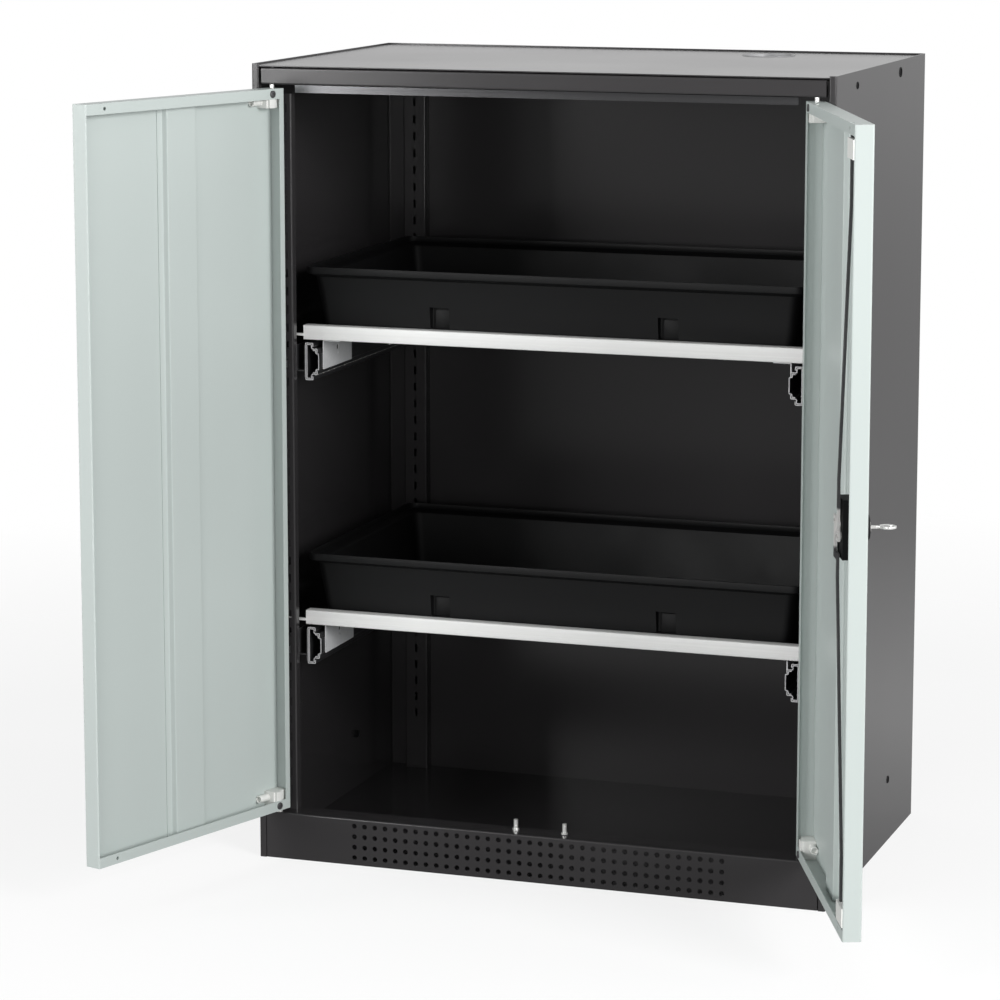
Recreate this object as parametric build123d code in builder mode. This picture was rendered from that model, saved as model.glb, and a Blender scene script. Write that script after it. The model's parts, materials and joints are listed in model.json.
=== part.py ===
from build123d import *
from math import cos, radians, sin
import os

# Chemical storage cabinet with two folded-sheet doors, two pull-out tubs and an extraction collar.
# Millimetres, +X to the right, +Y to the back, +Z up, origin on the ground under the middle of the carcass.
# It is drawn as it stands at rest: both doors open, both tubs pushed in, the lock turned back.

# Carcass
cabinet_width = 810.0
cabinet_depth = 520.0
cabinet_height = 1105.0
sheet = 1.5
fold = 2.2
cut_over = 5.0
post_face = 10.0
post_return = 20.0
rear_flange = 20.0
seat_flange = 22.0
roof_gap = 0.8
roof_recess = 2.2
header_height = 27.4
header_end_gap = 4.0
header_shelf = 35.0
shadow_gap = 1.6
tab_height = 15.0
tab_setback = 10.0
rebate_drop = 12.0
rebate_end_gap = 45.0
rebate_shelf = 14.0
plinth_height = 66.0
plinth_end_gap = 0.8
plinth_shelf = 39.0
plinth_lip = 12.0
floor_height = 8.0
floor_front_margin = 5.0
stiffener_half = 30.0
stiffener_foot = 16.0
stiffener_end_gap = 25.0

# Air holes in the plinth
air_hole_radius = 3.6
air_hole_pitch = 15.05
air_holes_across = 36
air_holes_up = 4
air_hole_height = 33.7

# Plugged holes in the sides
top_rear_hole_y = 105.0
top_rear_hole_drop = 17.0
top_rear_hole_radius = 7.0
top_front_hole_y = -146.0
top_front_hole_drop = 19.0
top_front_hole_radius = 5.0
low_hole_y = 102.0
low_hole_height = 90.0
low_hole_radius = 5.5
plug_rim = 1.5
plug_head = 1.0
plug_shank = 6.0
plug_play = 0.1

# Extraction collar in the roof
collar_x = 200.0
collar_from_back = 86.0
collar_bore = 34.0
collar_wall = 1.5
collar_flange = 2.0
collar_flange_height = 0.8
collar_length = 40.0
collar_play = 0.3

# Slotted uprights
upright_top_gap = 2.1
upright_front = 25.0
upright_opening_half = 358.0
upright_fixing = 30.0
upright_return = 12.0
rear_upright_depth = 17.0
rear_upright_outer = 375.0
rear_upright_inner = 340.0
front_slot_x = 366.75
rear_slot_x = 357.5
slot_pitch = 25.0
slot_height = 12.0
slot_width = 4.0

# Doors
pin_inset = 27.0
pin_setback = 6.0
pin_radius = 3.0
running_gap = 0.05
door_gap = 5.6
leaf_thickness = 24.0
pin_to_skin = 11.0
pin_to_edge = 10.0
leaf_gap = 4.0
left_open_angle = 108.1
right_open_angle = 112.9
door_sheet = 1.2
edge_radius = 2.0
lip_height = 14.0
hinge_lip = 10.0
stop_gap = 0.5
drain_radius = 2.5
drain_from_edge = 35.0
door_stiffener_middle = 180.0
door_stiffener_top_half = 28.0
door_stiffener_slope = 3.0
door_stiffener_foot = 9.0
door_stiffener_height = 8.0
door_stiffener_margin = 2.4

# Door pivots
block_outer = 8.5
block_inner = 20.0
block_length = 25.0
pin_grip = 23.0
pin_reach = 6.0
pivot_shoulder = 5.0
pivot_screw_head = 5.0
pivot_screw_head_height = 2.0
pivot_screw_socket = 2.4
pivot_screw_radius = 2.0
pivot_screw_height = 7.0
pivot_screw_along = 14.0
pivot_screw_length = 8.0

# Door stop pins on the sill
stop_pin_x = 35.0
stop_pin_radius = 3.0
stop_pin_height = 15.0
stop_pin_collar = 4.5
stop_pin_collar_height = 2.5
stop_pin_shank = 2.5
stop_pin_shank_length = 6.0

# Lock of the right door
lock_height = 580.0
lock_from_edge = 45.0
rosette_radius = 17.0
rosette_proud = 8.0
rosette_edge = 2.0
barrel_radius = 8.0
barrel_proud = 9.5
key_reach = 42.0
key_thickness = 2.8
key_blade = 7.0
key_bow = 11.0
key_ring_hole = 3.0
case_width = 40.0
case_height = 74.0
case_proud = 3.0
case_fillet = 3.0
cam_gap = 0.4
cam_thickness = 1.6
cam_width = 12.0
cam_throw = 12.0
cam_pin_radius = 2.0
cam_pin_length = 4.2
cam_half_angle = 45.0

# Locking rods
rod_thickness = 3.0
rod_width = 8.0
rod_lip_gap = 0.4
rod_cam_gap = 0.5
rod_from_edge = 35.0
rod_crank_start = 60.0
rod_straight = 94.0
rod_bridge = 30.0
rod_end_inset = 4.0
rod_eye_width = 14.0
rod_eye_height = 12.0
rod_slot_play = 0.45
rod_slot_run = 5.2
rod_hole_play = 1.0
guide_height = 24.0
guide_below_lip = 4.0
guide_depth = 9.0
guide_play = 0.25

# Trays
tray_levels = {"upper": 724.5, "lower": 324.5}
tray_setback = 52.0
tray_half = 354.0
bar_height = 20.0
bar_depth = 18.0
bar_wall = 2.0
bar_round = 1.5
carrier_drop = 0.5
carrier_half = 332.0
carrier_rear_inset = 13.0
carrier_lip = 16.0
carrier_rear_lip = 30.0
tub_height = 101.0
tub_flare = 10.0
tub_flare_height = 11.0
tub_draft = 12.0
tub_front_setback = 2.0
tub_rear_gap = 35.0
tub_wall = 3.0
tub_corner = 14.0
pocket_x = 162.0
pocket_width = 28.0
pocket_height = 30.0
pocket_depth = 6.0
pocket_tab_width = 13.0
pocket_tab_height = 24.0
pocket_tab_thickness = 2.0

# Slides, seen from the front
slide_setback = 3.0
slide_rear_gap = 3.5
slide_half_height = 26.0
slide_top_gap = 4.5
slide_outer = 353.0
slide_sheet = 1.3
slide_fold = 1.6
slide_play = 0.6
cabinet_member_width = 12.0
cabinet_member_lip = 5.5
middle_member_width = 18.2
middle_member_step = 6.0
middle_member_lip = 6.0
drawer_member_foot = 5.0
slide_width = 20.5

# Rails that hang the slides in the uprights
rail_sheet = 1.5
rail_half_height = 22.0
rail_flange = 17.0
rail_flange_rise = 8.0
rail_arm_length = 83.5
rail_arm_height = 36.0
rail_rear_tab = 19.0
hook_reach = 5.0
hook_half_height = 4.5

# Brackets between slide and tray
bracket_sheet = 1.5
bracket_length = 105.0
bracket_height = 40.5
bracket_flange = 25.0
bracket_setback = 14.0
bracket_rear_inset = 23.0
bracket_keyhole = 4.0
bracket_keyhole_slot = 2.2
bracket_keyhole_length = 9.0
bracket_keyhole_height = 16.0

# Places that follow from the sizes
half_width = cabinet_width / 2
front = -cabinet_depth / 2
back = cabinet_depth / 2
wall_inside = half_width - sheet
post_inside = half_width - post_face
header_half = post_inside - header_end_gap
rebate_half = post_inside - rebate_end_gap
plinth_half = post_inside - plinth_end_gap
stiffener_half_length = post_inside - stiffener_end_gap
back_face = back - sheet - sheet
roof_top = cabinet_height - roof_recess
roof_low = roof_top - sheet
header_bottom = cabinet_height - header_height
header_top = roof_low - shadow_gap
pin_x = half_width - pin_inset
pin_y = front + pin_setback
door_top = header_bottom - door_gap
door_bottom = plinth_height + door_gap
door_height = door_top - door_bottom
leaf_width = pin_x + pin_to_edge - leaf_gap / 2
leaf_free = leaf_width - pin_to_edge
skin_outside = -pin_to_skin
skin_inside = skin_outside + door_sheet
lip_outside = leaf_thickness - pin_to_skin
lip_inside = lip_outside - door_sheet
stop_y = pin_y + lip_outside + stop_gap
rebate_bottom = header_bottom - rebate_drop
upright_y = front + upright_front
open_angles = {-1: left_open_angle, 1: right_open_angle}
sides = {"left": -1, "right": 1}
lock_u = leaf_free - lock_from_edge
rod_u = leaf_free - rod_from_edge
rod_near = lip_inside - rod_lip_gap - rod_thickness
case_face = lip_outside + case_proud
cam_near = case_face + cam_gap
cam_face = cam_near + cam_thickness
rod_far = cam_face + rod_cam_gap
rod_x = pin_x - rod_u
rod_y = pin_y + rod_near + rod_thickness / 2
cam_side = cam_throw * cos(radians(cam_half_angle))
cam_drop = cam_throw * sin(radians(cam_half_angle))
eye_offset = (cam_throw + cam_side) / 2

collar_y = back - collar_from_back
side_holes = (
    (top_rear_hole_y, cabinet_height - top_rear_hole_drop, top_rear_hole_radius),
    (top_front_hole_y, cabinet_height - top_front_hole_drop, top_front_hole_radius),
    (low_hole_y, low_hole_height, low_hole_radius),
)
upright_top = rebate_bottom - upright_top_gap
rear_upright_front = back_face - rear_upright_depth
tray_front = front + tray_setback
bar_rear = tray_front + bar_depth
tub_front = tray_front + tub_front_setback
tub_rear = rear_upright_front - tub_rear_gap
carrier_rear = tub_rear - carrier_rear_inset
slide_front = tray_front + slide_setback
slide_length = rear_upright_front - rail_sheet - slide_rear_gap - slide_front

os.makedirs("parts", exist_ok=True)


def save(piece, name):
    """Label a finished piece and write its STEP file."""
    piece.part.label = name
    export_step(piece.part, f"parts/{name}.step")


def slab(low, high, mode=Mode.ADD):
    """Add or cut an upright box between two opposite corners."""
    middle = [(a + b) / 2 for a, b in zip(low, high)]
    with Locations(tuple(middle)):
        Box(*[abs(b - a) for a, b in zip(low, high)], mode=mode)


def folded(points, thickness, radius, side):
    """Draw the section of a folded sheet: a line through its outer corners, thickened to one side."""
    with BuildLine() as outline:
        path = FilletPolyline(*points, radius=radius)
        offset(path, amount=thickness, side=side)
    make_face(outline.edges())


def inward(side):
    """Side of a path on which the sheet lies, for a section drawn left-handed and mirrored to the right."""
    return Side.LEFT if side < 0 else Side.RIGHT


def leaf_plane(side, height):
    """Plane across a door at the pin line: x along the closed front, y into the cabinet when closed."""
    turn = radians(open_angles[side])
    return Plane(
        origin=(side * pin_x, pin_y, height),
        x_dir=(cos(turn), side * sin(turn), 0),
        z_dir=(0, 0, 1),
    )


def face_plane(side, depth):
    """Plane along a door at a depth from the pin line: x along the leaf, y up, facing the outside."""
    across = leaf_plane(side, 0)
    return Plane(
        origin=across.from_local_coords((0, depth, 0)),
        x_dir=across.x_dir,
        z_dir=-across.y_dir,
    )


def edge_plane(side, along):
    """Plane standing across a door at a distance from the pin: x into the cabinet when closed, y up."""
    across = leaf_plane(side, 0)
    return Plane(
        origin=across.from_local_coords((-side * along, 0, 0)),
        x_dir=across.y_dir,
        z_dir=across.y_dir.cross(Vector(0, 0, 1)),
    )


def leaf_box(side, low, high, mode=Mode.ADD):
    """Add or cut a box on a door, given as (along the leaf, depth, height) corners."""
    with BuildSketch(leaf_plane(side, low[2])) as profile:
        with Locations((-side * (low[0] + high[0]) / 2, (low[1] + high[1]) / 2)):
            Rectangle(high[0] - low[0], high[1] - low[1])
    extrude(profile.sketch, amount=high[2] - low[2], mode=mode)


def leaf_disc(side, along, height, radius, near, far, mode=Mode.ADD):
    """Add or cut a round bar through a door, from one depth to another."""
    with BuildSketch(face_plane(side, near)) as profile:
        with Locations((-side * along, height)):
            Circle(radius)
    extrude(profile.sketch, amount=near - far, mode=mode)


def pivot_bar(side, radius, low, high, mode=Mode.ADD):
    """Add or cut an upright round bar on a door's pin line."""
    with BuildSketch(leaf_plane(side, low)) as profile:
        Circle(radius)
    extrude(profile.sketch, amount=high - low, mode=mode)


def upright_bar(x, y, radius, low, high, mode=Mode.ADD):
    """Add or cut an upright round bar."""
    with BuildSketch(Plane.XY.offset(low)) as profile:
        with Locations((x, y)):
            Circle(radius)
    extrude(profile.sketch, amount=high - low, mode=mode)


def side_bars(side, near, far, grow, mode=Mode.ADD):
    """Add or cut a bar in each plugged hole of a side, from one distance to another from the middle."""
    for y, z, radius in side_holes:
        with BuildSketch(Plane.YZ.offset(side * near)) as profile:
            with Locations((y, z)):
                Circle(radius + grow)
        extrude(profile.sketch, amount=side * (far - near), mode=mode)


# Side panels, with a folded front post, a rear flange and seats for roof and floor
for hand, side in sides.items():
    with BuildPart() as side_panel:
        with BuildSketch(Plane.XY):
            corners = (
                (side * post_inside, front + post_return),
                (side * post_inside, front),
                (side * half_width, front),
                (side * half_width, back),
                (side * (half_width - rear_flange), back),
            )
            folded(corners, sheet, fold, Side.RIGHT if side < 0 else Side.LEFT)
        extrude(amount=cabinet_height)
        seat_inner = side * (wall_inside - seat_flange)
        for seat in (0, roof_low - sheet):
            slab(
                (side * wall_inside, front + post_return, seat),
                (seat_inner, back_face, seat + sheet),
            )
        slab(
            (side * (half_width - sheet), front + sheet, roof_low),
            (side * (post_inside - cut_over), front + post_return + cut_over, cabinet_height + cut_over),
            mode=Mode.SUBTRACT,
        )
        side_bars(side, wall_inside - cut_over, half_width + cut_over, 0, mode=Mode.SUBTRACT)
    save(side_panel, f"{hand}_side_panel")

# Back panel, against the rear flanges of the sides
with BuildPart() as back_panel:
    back_half = wall_inside - fold
    slab((-back_half, back_face, 0), (back_half, back_face + sheet, cabinet_height))
save(back_panel, "back_panel")

# Roof panel on the seats, with the hole for the extraction collar
with BuildPart() as roof_panel:
    roof_half = wall_inside - roof_gap
    slab((-roof_half, front + sheet, roof_low), (roof_half, back_face - roof_gap, roof_top))
    slab((-header_half, front, roof_low), (header_half, front + sheet, roof_top))
    upright_bar(
        collar_x,
        collar_y,
        collar_bore + collar_wall + collar_play,
        roof_low - cut_over,
        roof_top + cut_over,
        mode=Mode.SUBTRACT,
    )
save(roof_panel, "roof_panel")

# Extraction collar that hangs in the roof by its flange
with BuildPart() as collar:
    collar_outer = collar_bore + collar_wall
    collar_top = roof_top + collar_flange_height
    upright_bar(collar_x, collar_y, collar_outer, collar_top - collar_length, collar_top)
    upright_bar(collar_x, collar_y, collar_outer + collar_flange, roof_top, collar_top)
    upright_bar(
        collar_x,
        collar_y,
        collar_bore,
        collar_top - collar_length - cut_over,
        collar_top + cut_over,
        mode=Mode.SUBTRACT,
    )
save(collar, "extraction_collar")

# Front header: fascia with a shelf that takes the upper door pins
with BuildPart() as header:
    with BuildSketch(Plane.YZ.offset(-header_half)):
        header_line = (
            (front + header_shelf, header_top),
            (front, header_top),
            (front, header_bottom),
            (front + header_shelf, header_bottom),
        )
        folded(header_line, sheet, fold, Side.LEFT)
    extrude(amount=header_half + header_half)
    for side in sides.values():
        slab(
            (side * (header_half - sheet), front + tab_setback, header_bottom),
            (side * post_inside, front + tab_setback + sheet, header_bottom + tab_height),
        )
        upright_bar(
            side * pin_x,
            pin_y,
            pin_radius + running_gap,
            header_bottom - cut_over,
            header_bottom + cut_over,
            mode=Mode.SUBTRACT,
        )
    slab(
        (rod_x - rod_width / 2 - rod_hole_play, rod_y - rod_thickness / 2 - rod_hole_play,
         header_bottom - cut_over),
        (rod_x + rod_width / 2 + rod_hole_play, rod_y + rod_thickness / 2 + rod_hole_play,
         header_bottom + cut_over),
        mode=Mode.SUBTRACT,
    )
save(header, "front_header")

# Bright strip under the header that the closed doors come up to
with BuildPart() as rebate:
    with BuildSketch(Plane.YZ.offset(-rebate_half)):
        rebate_line = (
            (stop_y, rebate_bottom),
            (stop_y, header_bottom),
            (stop_y + rebate_shelf, header_bottom),
        )
        folded(rebate_line, sheet, fold, Side.RIGHT)
    extrude(amount=rebate_half + rebate_half)
save(rebate, "upper_rebate_strip")

# Perforated plinth with the sill for the lower door pins
with BuildPart() as plinth:
    with BuildSketch(Plane.YZ.offset(-plinth_half)):
        plinth_line = (
            (front + post_return, 0),
            (front, 0),
            (front, plinth_height),
            (front + plinth_shelf, plinth_height),
            (front + plinth_shelf, plinth_height - plinth_lip),
        )
        folded(plinth_line, sheet, fold, Side.RIGHT)
    extrude(amount=plinth_half + plinth_half)
    with BuildSketch(Plane.XZ.offset(-front)):
        with Locations((0, air_hole_height)):
            with GridLocations(air_hole_pitch, air_hole_pitch, air_holes_across, air_holes_up):
                Circle(air_hole_radius)
    extrude(amount=-sheet, mode=Mode.SUBTRACT)
    for side in sides.values():
        slab(
            (side * (plinth_half - sheet), front + tab_setback, plinth_height - tab_height),
            (side * post_inside, front + tab_setback + sheet, plinth_height - sheet),
        )
        sill_cut = (plinth_height - cut_over, plinth_height + cut_over)
        upright_bar(side * pin_x, pin_y, pin_radius + running_gap, *sill_cut, mode=Mode.SUBTRACT)
        upright_bar(
            side * stop_pin_x,
            stop_y + stop_pin_radius,
            stop_pin_shank + running_gap,
            *sill_cut,
            mode=Mode.SUBTRACT,
        )
    slab(
        (rod_x - rod_width / 2 - rod_hole_play, rod_y - rod_thickness / 2 - rod_hole_play, sill_cut[0]),
        (rod_x + rod_width / 2 + rod_hole_play, rod_y + rod_thickness / 2 + rod_hole_play, sill_cut[1]),
        mode=Mode.SUBTRACT,
    )
save(plinth, "perforated_plinth")

# Floor panel with turned-down edges that stand on the seats of the sides
with BuildPart() as floor_panel:
    floor_low = floor_height - sheet
    floor_front = front + post_return
    slab((-wall_inside, floor_front, floor_low), (wall_inside, back_face, floor_height))
    slab(
        (-header_half, front + floor_front_margin, floor_low),
        (header_half, floor_front, floor_height),
    )
    for side in sides.values():
        slab(
            (side * wall_inside, floor_front, sheet),
            (side * (wall_inside - sheet), back_face, floor_low),
        )
save(floor_panel, "floor_panel")

# Stiffening channel under the floor, level with the feet of the carcass
with BuildPart() as stiffener:
    with BuildSketch(Plane.YZ.offset(-stiffener_half_length)):
        channel_line = (
            (-stiffener_half - stiffener_foot, floor_low),
            (-stiffener_half, floor_low),
            (-stiffener_half, sheet),
            (stiffener_half, sheet),
            (stiffener_half, floor_low),
            (stiffener_half + stiffener_foot, floor_low),
        )
        folded(channel_line, sheet, sheet / 2, Side.RIGHT)
    extrude(amount=stiffener_half_length + stiffener_half_length)
save(stiffener, "floor_stiffener")

# Slot rows line up with the hooks of both trays
slide_middles = {level: base - slide_top_gap - slide_half_height for level, base in tray_levels.items()}
slots_below_tray = int((slide_middles["lower"] - plinth_height - slot_height) / slot_pitch)
first_slot = slide_middles["lower"] - slots_below_tray * slot_pitch
slot_count = int((upright_top - slot_height - first_slot) / slot_pitch) + 1

# Slotted uprights: folded flanges behind the door opening and channels on the back panel
for hand, side in sides.items():
    with BuildPart() as front_upright:
        with BuildSketch(Plane.XY.offset(plinth_height)):
            upright_line = (
                (side * wall_inside, upright_y + upright_fixing),
                (side * wall_inside, upright_y),
                (side * upright_opening_half, upright_y),
                (side * upright_opening_half, upright_y + upright_return),
            )
            folded(upright_line, sheet, fold, inward(side))
        extrude(amount=upright_top - plinth_height)
        with BuildSketch(Plane.XZ.offset(-upright_y)):
            for step in range(slot_count):
                with Locations((side * front_slot_x, first_slot + step * slot_pitch)):
                    Rectangle(slot_width, slot_height)
        extrude(amount=-sheet, mode=Mode.SUBTRACT)
    save(front_upright, f"front_{hand}_upright")

    with BuildPart() as rear_upright:
        with BuildSketch(Plane.XY.offset(floor_height)):
            channel = (
                (side * rear_upright_outer, back_face),
                (side * rear_upright_outer, rear_upright_front),
                (side * rear_upright_inner, rear_upright_front),
                (side * rear_upright_inner, back_face),
            )
            folded(channel, sheet, fold, inward(side))
        extrude(amount=upright_top - floor_height)
        with BuildSketch(Plane.XZ.offset(-rear_upright_front)):
            for step in range(slot_count):
                with Locations((side * rear_slot_x, first_slot + step * slot_pitch)):
                    Rectangle(slot_width, slot_height)
        extrude(amount=-sheet, mode=Mode.SUBTRACT)
    save(rear_upright, f"rear_{hand}_upright")

# Plugs in the holes of both sides
with BuildPart() as plugs:
    for side in sides.values():
        side_bars(side, half_width, half_width + plug_head, plug_rim)
        side_bars(side, half_width - plug_shank, half_width, -plug_play)
save(plugs, "side_hole_plugs")

# Stop pins riveted into the sill
with BuildPart() as stop_pins:
    stop_pin_y = stop_y + stop_pin_radius
    for side in sides.values():
        place = (side * stop_pin_x, stop_pin_y)
        upright_bar(*place, stop_pin_shank, plinth_height - stop_pin_shank_length, plinth_height)
        upright_bar(*place, stop_pin_radius, plinth_height, plinth_height + stop_pin_height)
        upright_bar(*place, stop_pin_collar, plinth_height, plinth_height + stop_pin_collar_height)
save(stop_pins, "door_stop_pins")


# Doors: folded pans that turn on pins at the top and the bottom of the hinge edge
block_ends = ((door_bottom + door_sheet, 1), (door_top - door_sheet, -1))
for hand, side in sides.items():
    with BuildPart() as door_panel:
        leaf_box(side, (-pin_to_edge, skin_outside, door_bottom), (leaf_free, lip_outside, door_top))
        fillet(door_panel.edges().filter_by(Axis.Z), radius=edge_radius)
        leaf_box(
            side,
            (-pin_to_edge + door_sheet, skin_inside, door_bottom + door_sheet),
            (leaf_free - door_sheet, lip_inside, door_top - door_sheet),
            mode=Mode.SUBTRACT,
        )
        leaf_box(
            side,
            (-pin_to_edge + hinge_lip, lip_inside - door_sheet, door_bottom + lip_height),
            (leaf_free - door_sheet, lip_outside + cut_over, door_top - lip_height),
            mode=Mode.SUBTRACT,
        )
        pivot_bar(side, pin_radius, door_bottom - cut_over, door_top + cut_over, mode=Mode.SUBTRACT)
        for height in (door_bottom + pivot_screw_height, door_top - pivot_screw_height):
            through_lip = (lip_inside - door_sheet, lip_outside + cut_over)
            leaf_disc(side, pivot_screw_along, height, pivot_screw_radius, *through_lip, mode=Mode.SUBTRACT)
            leaf_disc(
                side,
                leaf_free - drain_from_edge,
                height,
                drain_radius,
                *through_lip,
                mode=Mode.SUBTRACT,
            )
        if side > 0:
            through_skin = (skin_outside - cut_over, skin_inside + cut_over)
            leaf_disc(
                side,
                lock_u,
                lock_height,
                barrel_radius + running_gap,
                *through_skin,
                mode=Mode.SUBTRACT,
            )
            leaf_box(
                side,
                (rod_u - rod_width / 2 - rod_hole_play, rod_near - rod_hole_play, door_bottom - cut_over),
                (rod_u + rod_width / 2 + rod_hole_play, lip_inside, door_top + cut_over),
                mode=Mode.SUBTRACT,
            )
    save(door_panel, f"{hand}_door_panel")

    with BuildPart() as door_stiffener:
        top_end = door_stiffener_top_half
        foot_start = door_stiffener_top_half + door_stiffener_slope
        foot_end = foot_start + door_stiffener_foot
        crest = skin_inside + door_stiffener_height
        foot = skin_inside + door_sheet
        with BuildSketch(leaf_plane(side, door_bottom + door_stiffener_margin)):
            hat = [
                (-side * door_stiffener_middle + offset_x, depth)
                for offset_x, depth in (
                    (-foot_end, foot),
                    (-foot_start, foot),
                    (-top_end, crest),
                    (top_end, crest),
                    (foot_start, foot),
                    (foot_end, foot),
                )
            ]
            folded(hat, door_sheet, edge_radius, Side.RIGHT)
        extrude(amount=door_height - door_stiffener_margin - door_stiffener_margin)
    save(door_stiffener, f"{hand}_door_stiffener")

    with BuildPart() as pivot_blocks:
        for height, way in block_ends:
            low = min(height, height + way * block_length)
            leaf_box(side, (-block_outer, skin_inside, low), (block_inner, lip_inside, low + block_length))
        pivot_bar(side, pin_radius, door_bottom, door_top, mode=Mode.SUBTRACT)
        for height in (door_bottom + pivot_screw_height, door_top - pivot_screw_height):
            leaf_disc(
                side,
                pivot_screw_along,
                height,
                pivot_screw_radius,
                lip_outside - pivot_screw_length,
                lip_outside,
                mode=Mode.SUBTRACT,
            )
    save(pivot_blocks, f"{hand}_door_pivot_blocks")

    with BuildPart() as pivot_pins:
        pivot_bar(side, pin_radius, door_top - pin_grip, header_bottom + pin_reach)
        pivot_bar(side, pin_radius, plinth_height - pin_reach, door_bottom + pin_grip)
        pivot_bar(side, pivot_shoulder, plinth_height, door_bottom)
    save(pivot_pins, f"{hand}_door_pivot_pins")

    with BuildPart() as pivot_screws:
        for height in (door_bottom + pivot_screw_height, door_top - pivot_screw_height):
            head_top = lip_outside + pivot_screw_head_height
            shank_end = lip_outside - pivot_screw_length
            leaf_disc(side, pivot_screw_along, height, pivot_screw_radius, shank_end, lip_outside)
            leaf_disc(side, pivot_screw_along, height, pivot_screw_head, lip_outside, head_top)
            leaf_disc(
                side,
                pivot_screw_along,
                height,
                pivot_screw_socket,
                head_top - pivot_screw_head_height / 2,
                head_top + cut_over,
                mode=Mode.SUBTRACT,
            )
    save(pivot_screws, f"{hand}_door_pivot_screws")


# Lock of the right door: case inside, rosette outside, a barrel that turns with its key and cam
lock_side = sides["right"]
barrel_end = skin_outside - barrel_proud

with BuildPart() as lock_case:
    leaf_box(
        lock_side,
        (lock_u - case_width / 2, skin_inside, lock_height - case_height / 2),
        (lock_u + case_width / 2, case_face, lock_height + case_height / 2),
    )
    fillet(lock_case.faces().sort_by(SortBy.AREA)[-1].edges(), radius=case_fillet / 2)
    leaf_disc(
        lock_side,
        lock_u,
        lock_height,
        barrel_radius + running_gap,
        skin_inside - cut_over,
        case_face + cut_over,
        mode=Mode.SUBTRACT,
    )
save(lock_case, "lock_case")

with BuildPart() as rosette:
    rosette_face = skin_outside - rosette_proud
    leaf_disc(lock_side, lock_u, lock_height, rosette_radius, rosette_face, skin_outside)
    outward = Axis((0, 0, 0), face_plane(lock_side, 0).z_dir)
    chamfer(rosette.edges().filter_by(GeomType.CIRCLE).sort_by(outward)[-1], length=rosette_edge)
    leaf_disc(
        lock_side,
        lock_u,
        lock_height,
        barrel_radius + running_gap,
        rosette_face - cut_over,
        skin_outside + cut_over,
        mode=Mode.SUBTRACT,
    )
save(rosette, "lock_rosette")

with BuildPart() as barrel:
    leaf_disc(lock_side, lock_u, lock_height, barrel_radius, barrel_end, cam_near)
save(barrel, "lock_barrel")

with BuildPart() as key:
    key_tip = skin_outside - key_reach
    key_low = lock_height - key_thickness / 2
    leaf_box(
        lock_side,
        (lock_u - key_blade / 2, key_tip + key_bow, key_low),
        (lock_u + key_blade / 2, barrel_end, key_low + key_thickness),
    )
    with BuildSketch(leaf_plane(lock_side, key_low)):
        with Locations((-lock_side * lock_u, key_tip + key_bow)):
            Circle(key_bow)
        with Locations((-lock_side * lock_u, key_tip + key_bow / 2)):
            Circle(key_ring_hole, mode=Mode.SUBTRACT)
    extrude(amount=key_thickness)
save(key, "lock_key")


def cam_point(turns):
    """Place of a cam pin along the leaf and up, at rest, from its half angle below the level."""
    return (lock_u + turns * cam_side, lock_height - turns * cam_drop)


with BuildPart() as cam:
    with BuildSketch(face_plane(lock_side, cam_near)):
        with Locations(Location((-lock_side * lock_u, lock_height, 0), (0, 0, lock_side * cam_half_angle))):
            SlotCenterToCenter(cam_throw + cam_throw, cam_width)
    extrude(amount=-cam_thickness)
    for turns in (1, -1):
        pin_along, pin_up = cam_point(turns)
        leaf_disc(lock_side, pin_along, pin_up, cam_pin_radius, cam_face, cam_face + cam_pin_length)
save(cam, "lock_cam")

# Flat rods cranked from the cam to the guides, each with a cross slot round its cam pin
rod_ends = {
    "upper": (1, door_top - door_sheet - rod_end_inset),
    "lower": (-1, door_bottom + door_sheet + rod_end_inset),
}
for level, (way, rod_end) in rod_ends.items():
    eye_along = lock_u + way * eye_offset
    eye_up = lock_height - way * cam_drop
    with BuildPart() as rod:
        with BuildSketch(edge_plane(lock_side, rod_u)):
            with BuildLine() as rod_outline:
                Polyline(
                    (rod_near, rod_end),
                    (rod_near, rod_end - way * rod_straight),
                    (rod_far, lock_height + way * rod_crank_start),
                    (rod_far, lock_height + way * rod_bridge),
                    (rod_far + rod_thickness, lock_height + way * rod_bridge),
                    (rod_far + rod_thickness, lock_height + way * rod_crank_start),
                    (rod_near + rod_thickness, rod_end - way * rod_straight),
                    (rod_near + rod_thickness, rod_end),
                    close=True,
                )
            make_face(rod_outline.edges())
        extrude(amount=rod_width / 2, both=True)
        bridge = sorted((lock_height + way * rod_bridge, lock_height + way * (rod_bridge + rod_width)))
        stem = sorted((eye_up, lock_height + way * rod_bridge))
        leaf_box(
            lock_side,
            (min(eye_along, rod_u) - rod_width / 2, rod_far, bridge[0]),
            (max(eye_along, rod_u) + rod_width / 2, rod_far + rod_thickness, bridge[1]),
        )
        leaf_box(
            lock_side,
            (eye_along - rod_width / 2, rod_far, stem[0]),
            (eye_along + rod_width / 2, rod_far + rod_thickness, stem[1]),
        )
        leaf_box(
            lock_side,
            (eye_along - rod_eye_width / 2, rod_far, eye_up - rod_eye_height / 2),
            (eye_along + rod_eye_width / 2, rod_far + rod_thickness, eye_up + rod_eye_height / 2),
        )
        slot_half = cam_pin_radius + rod_slot_play
        leaf_box(
            lock_side,
            (eye_along - rod_slot_run, rod_far - cut_over, eye_up - slot_half),
            (eye_along + rod_slot_run, rod_far + rod_thickness + cut_over, eye_up + slot_half),
            mode=Mode.SUBTRACT,
        )
    save(rod, f"{level}_lock_rod")

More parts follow.
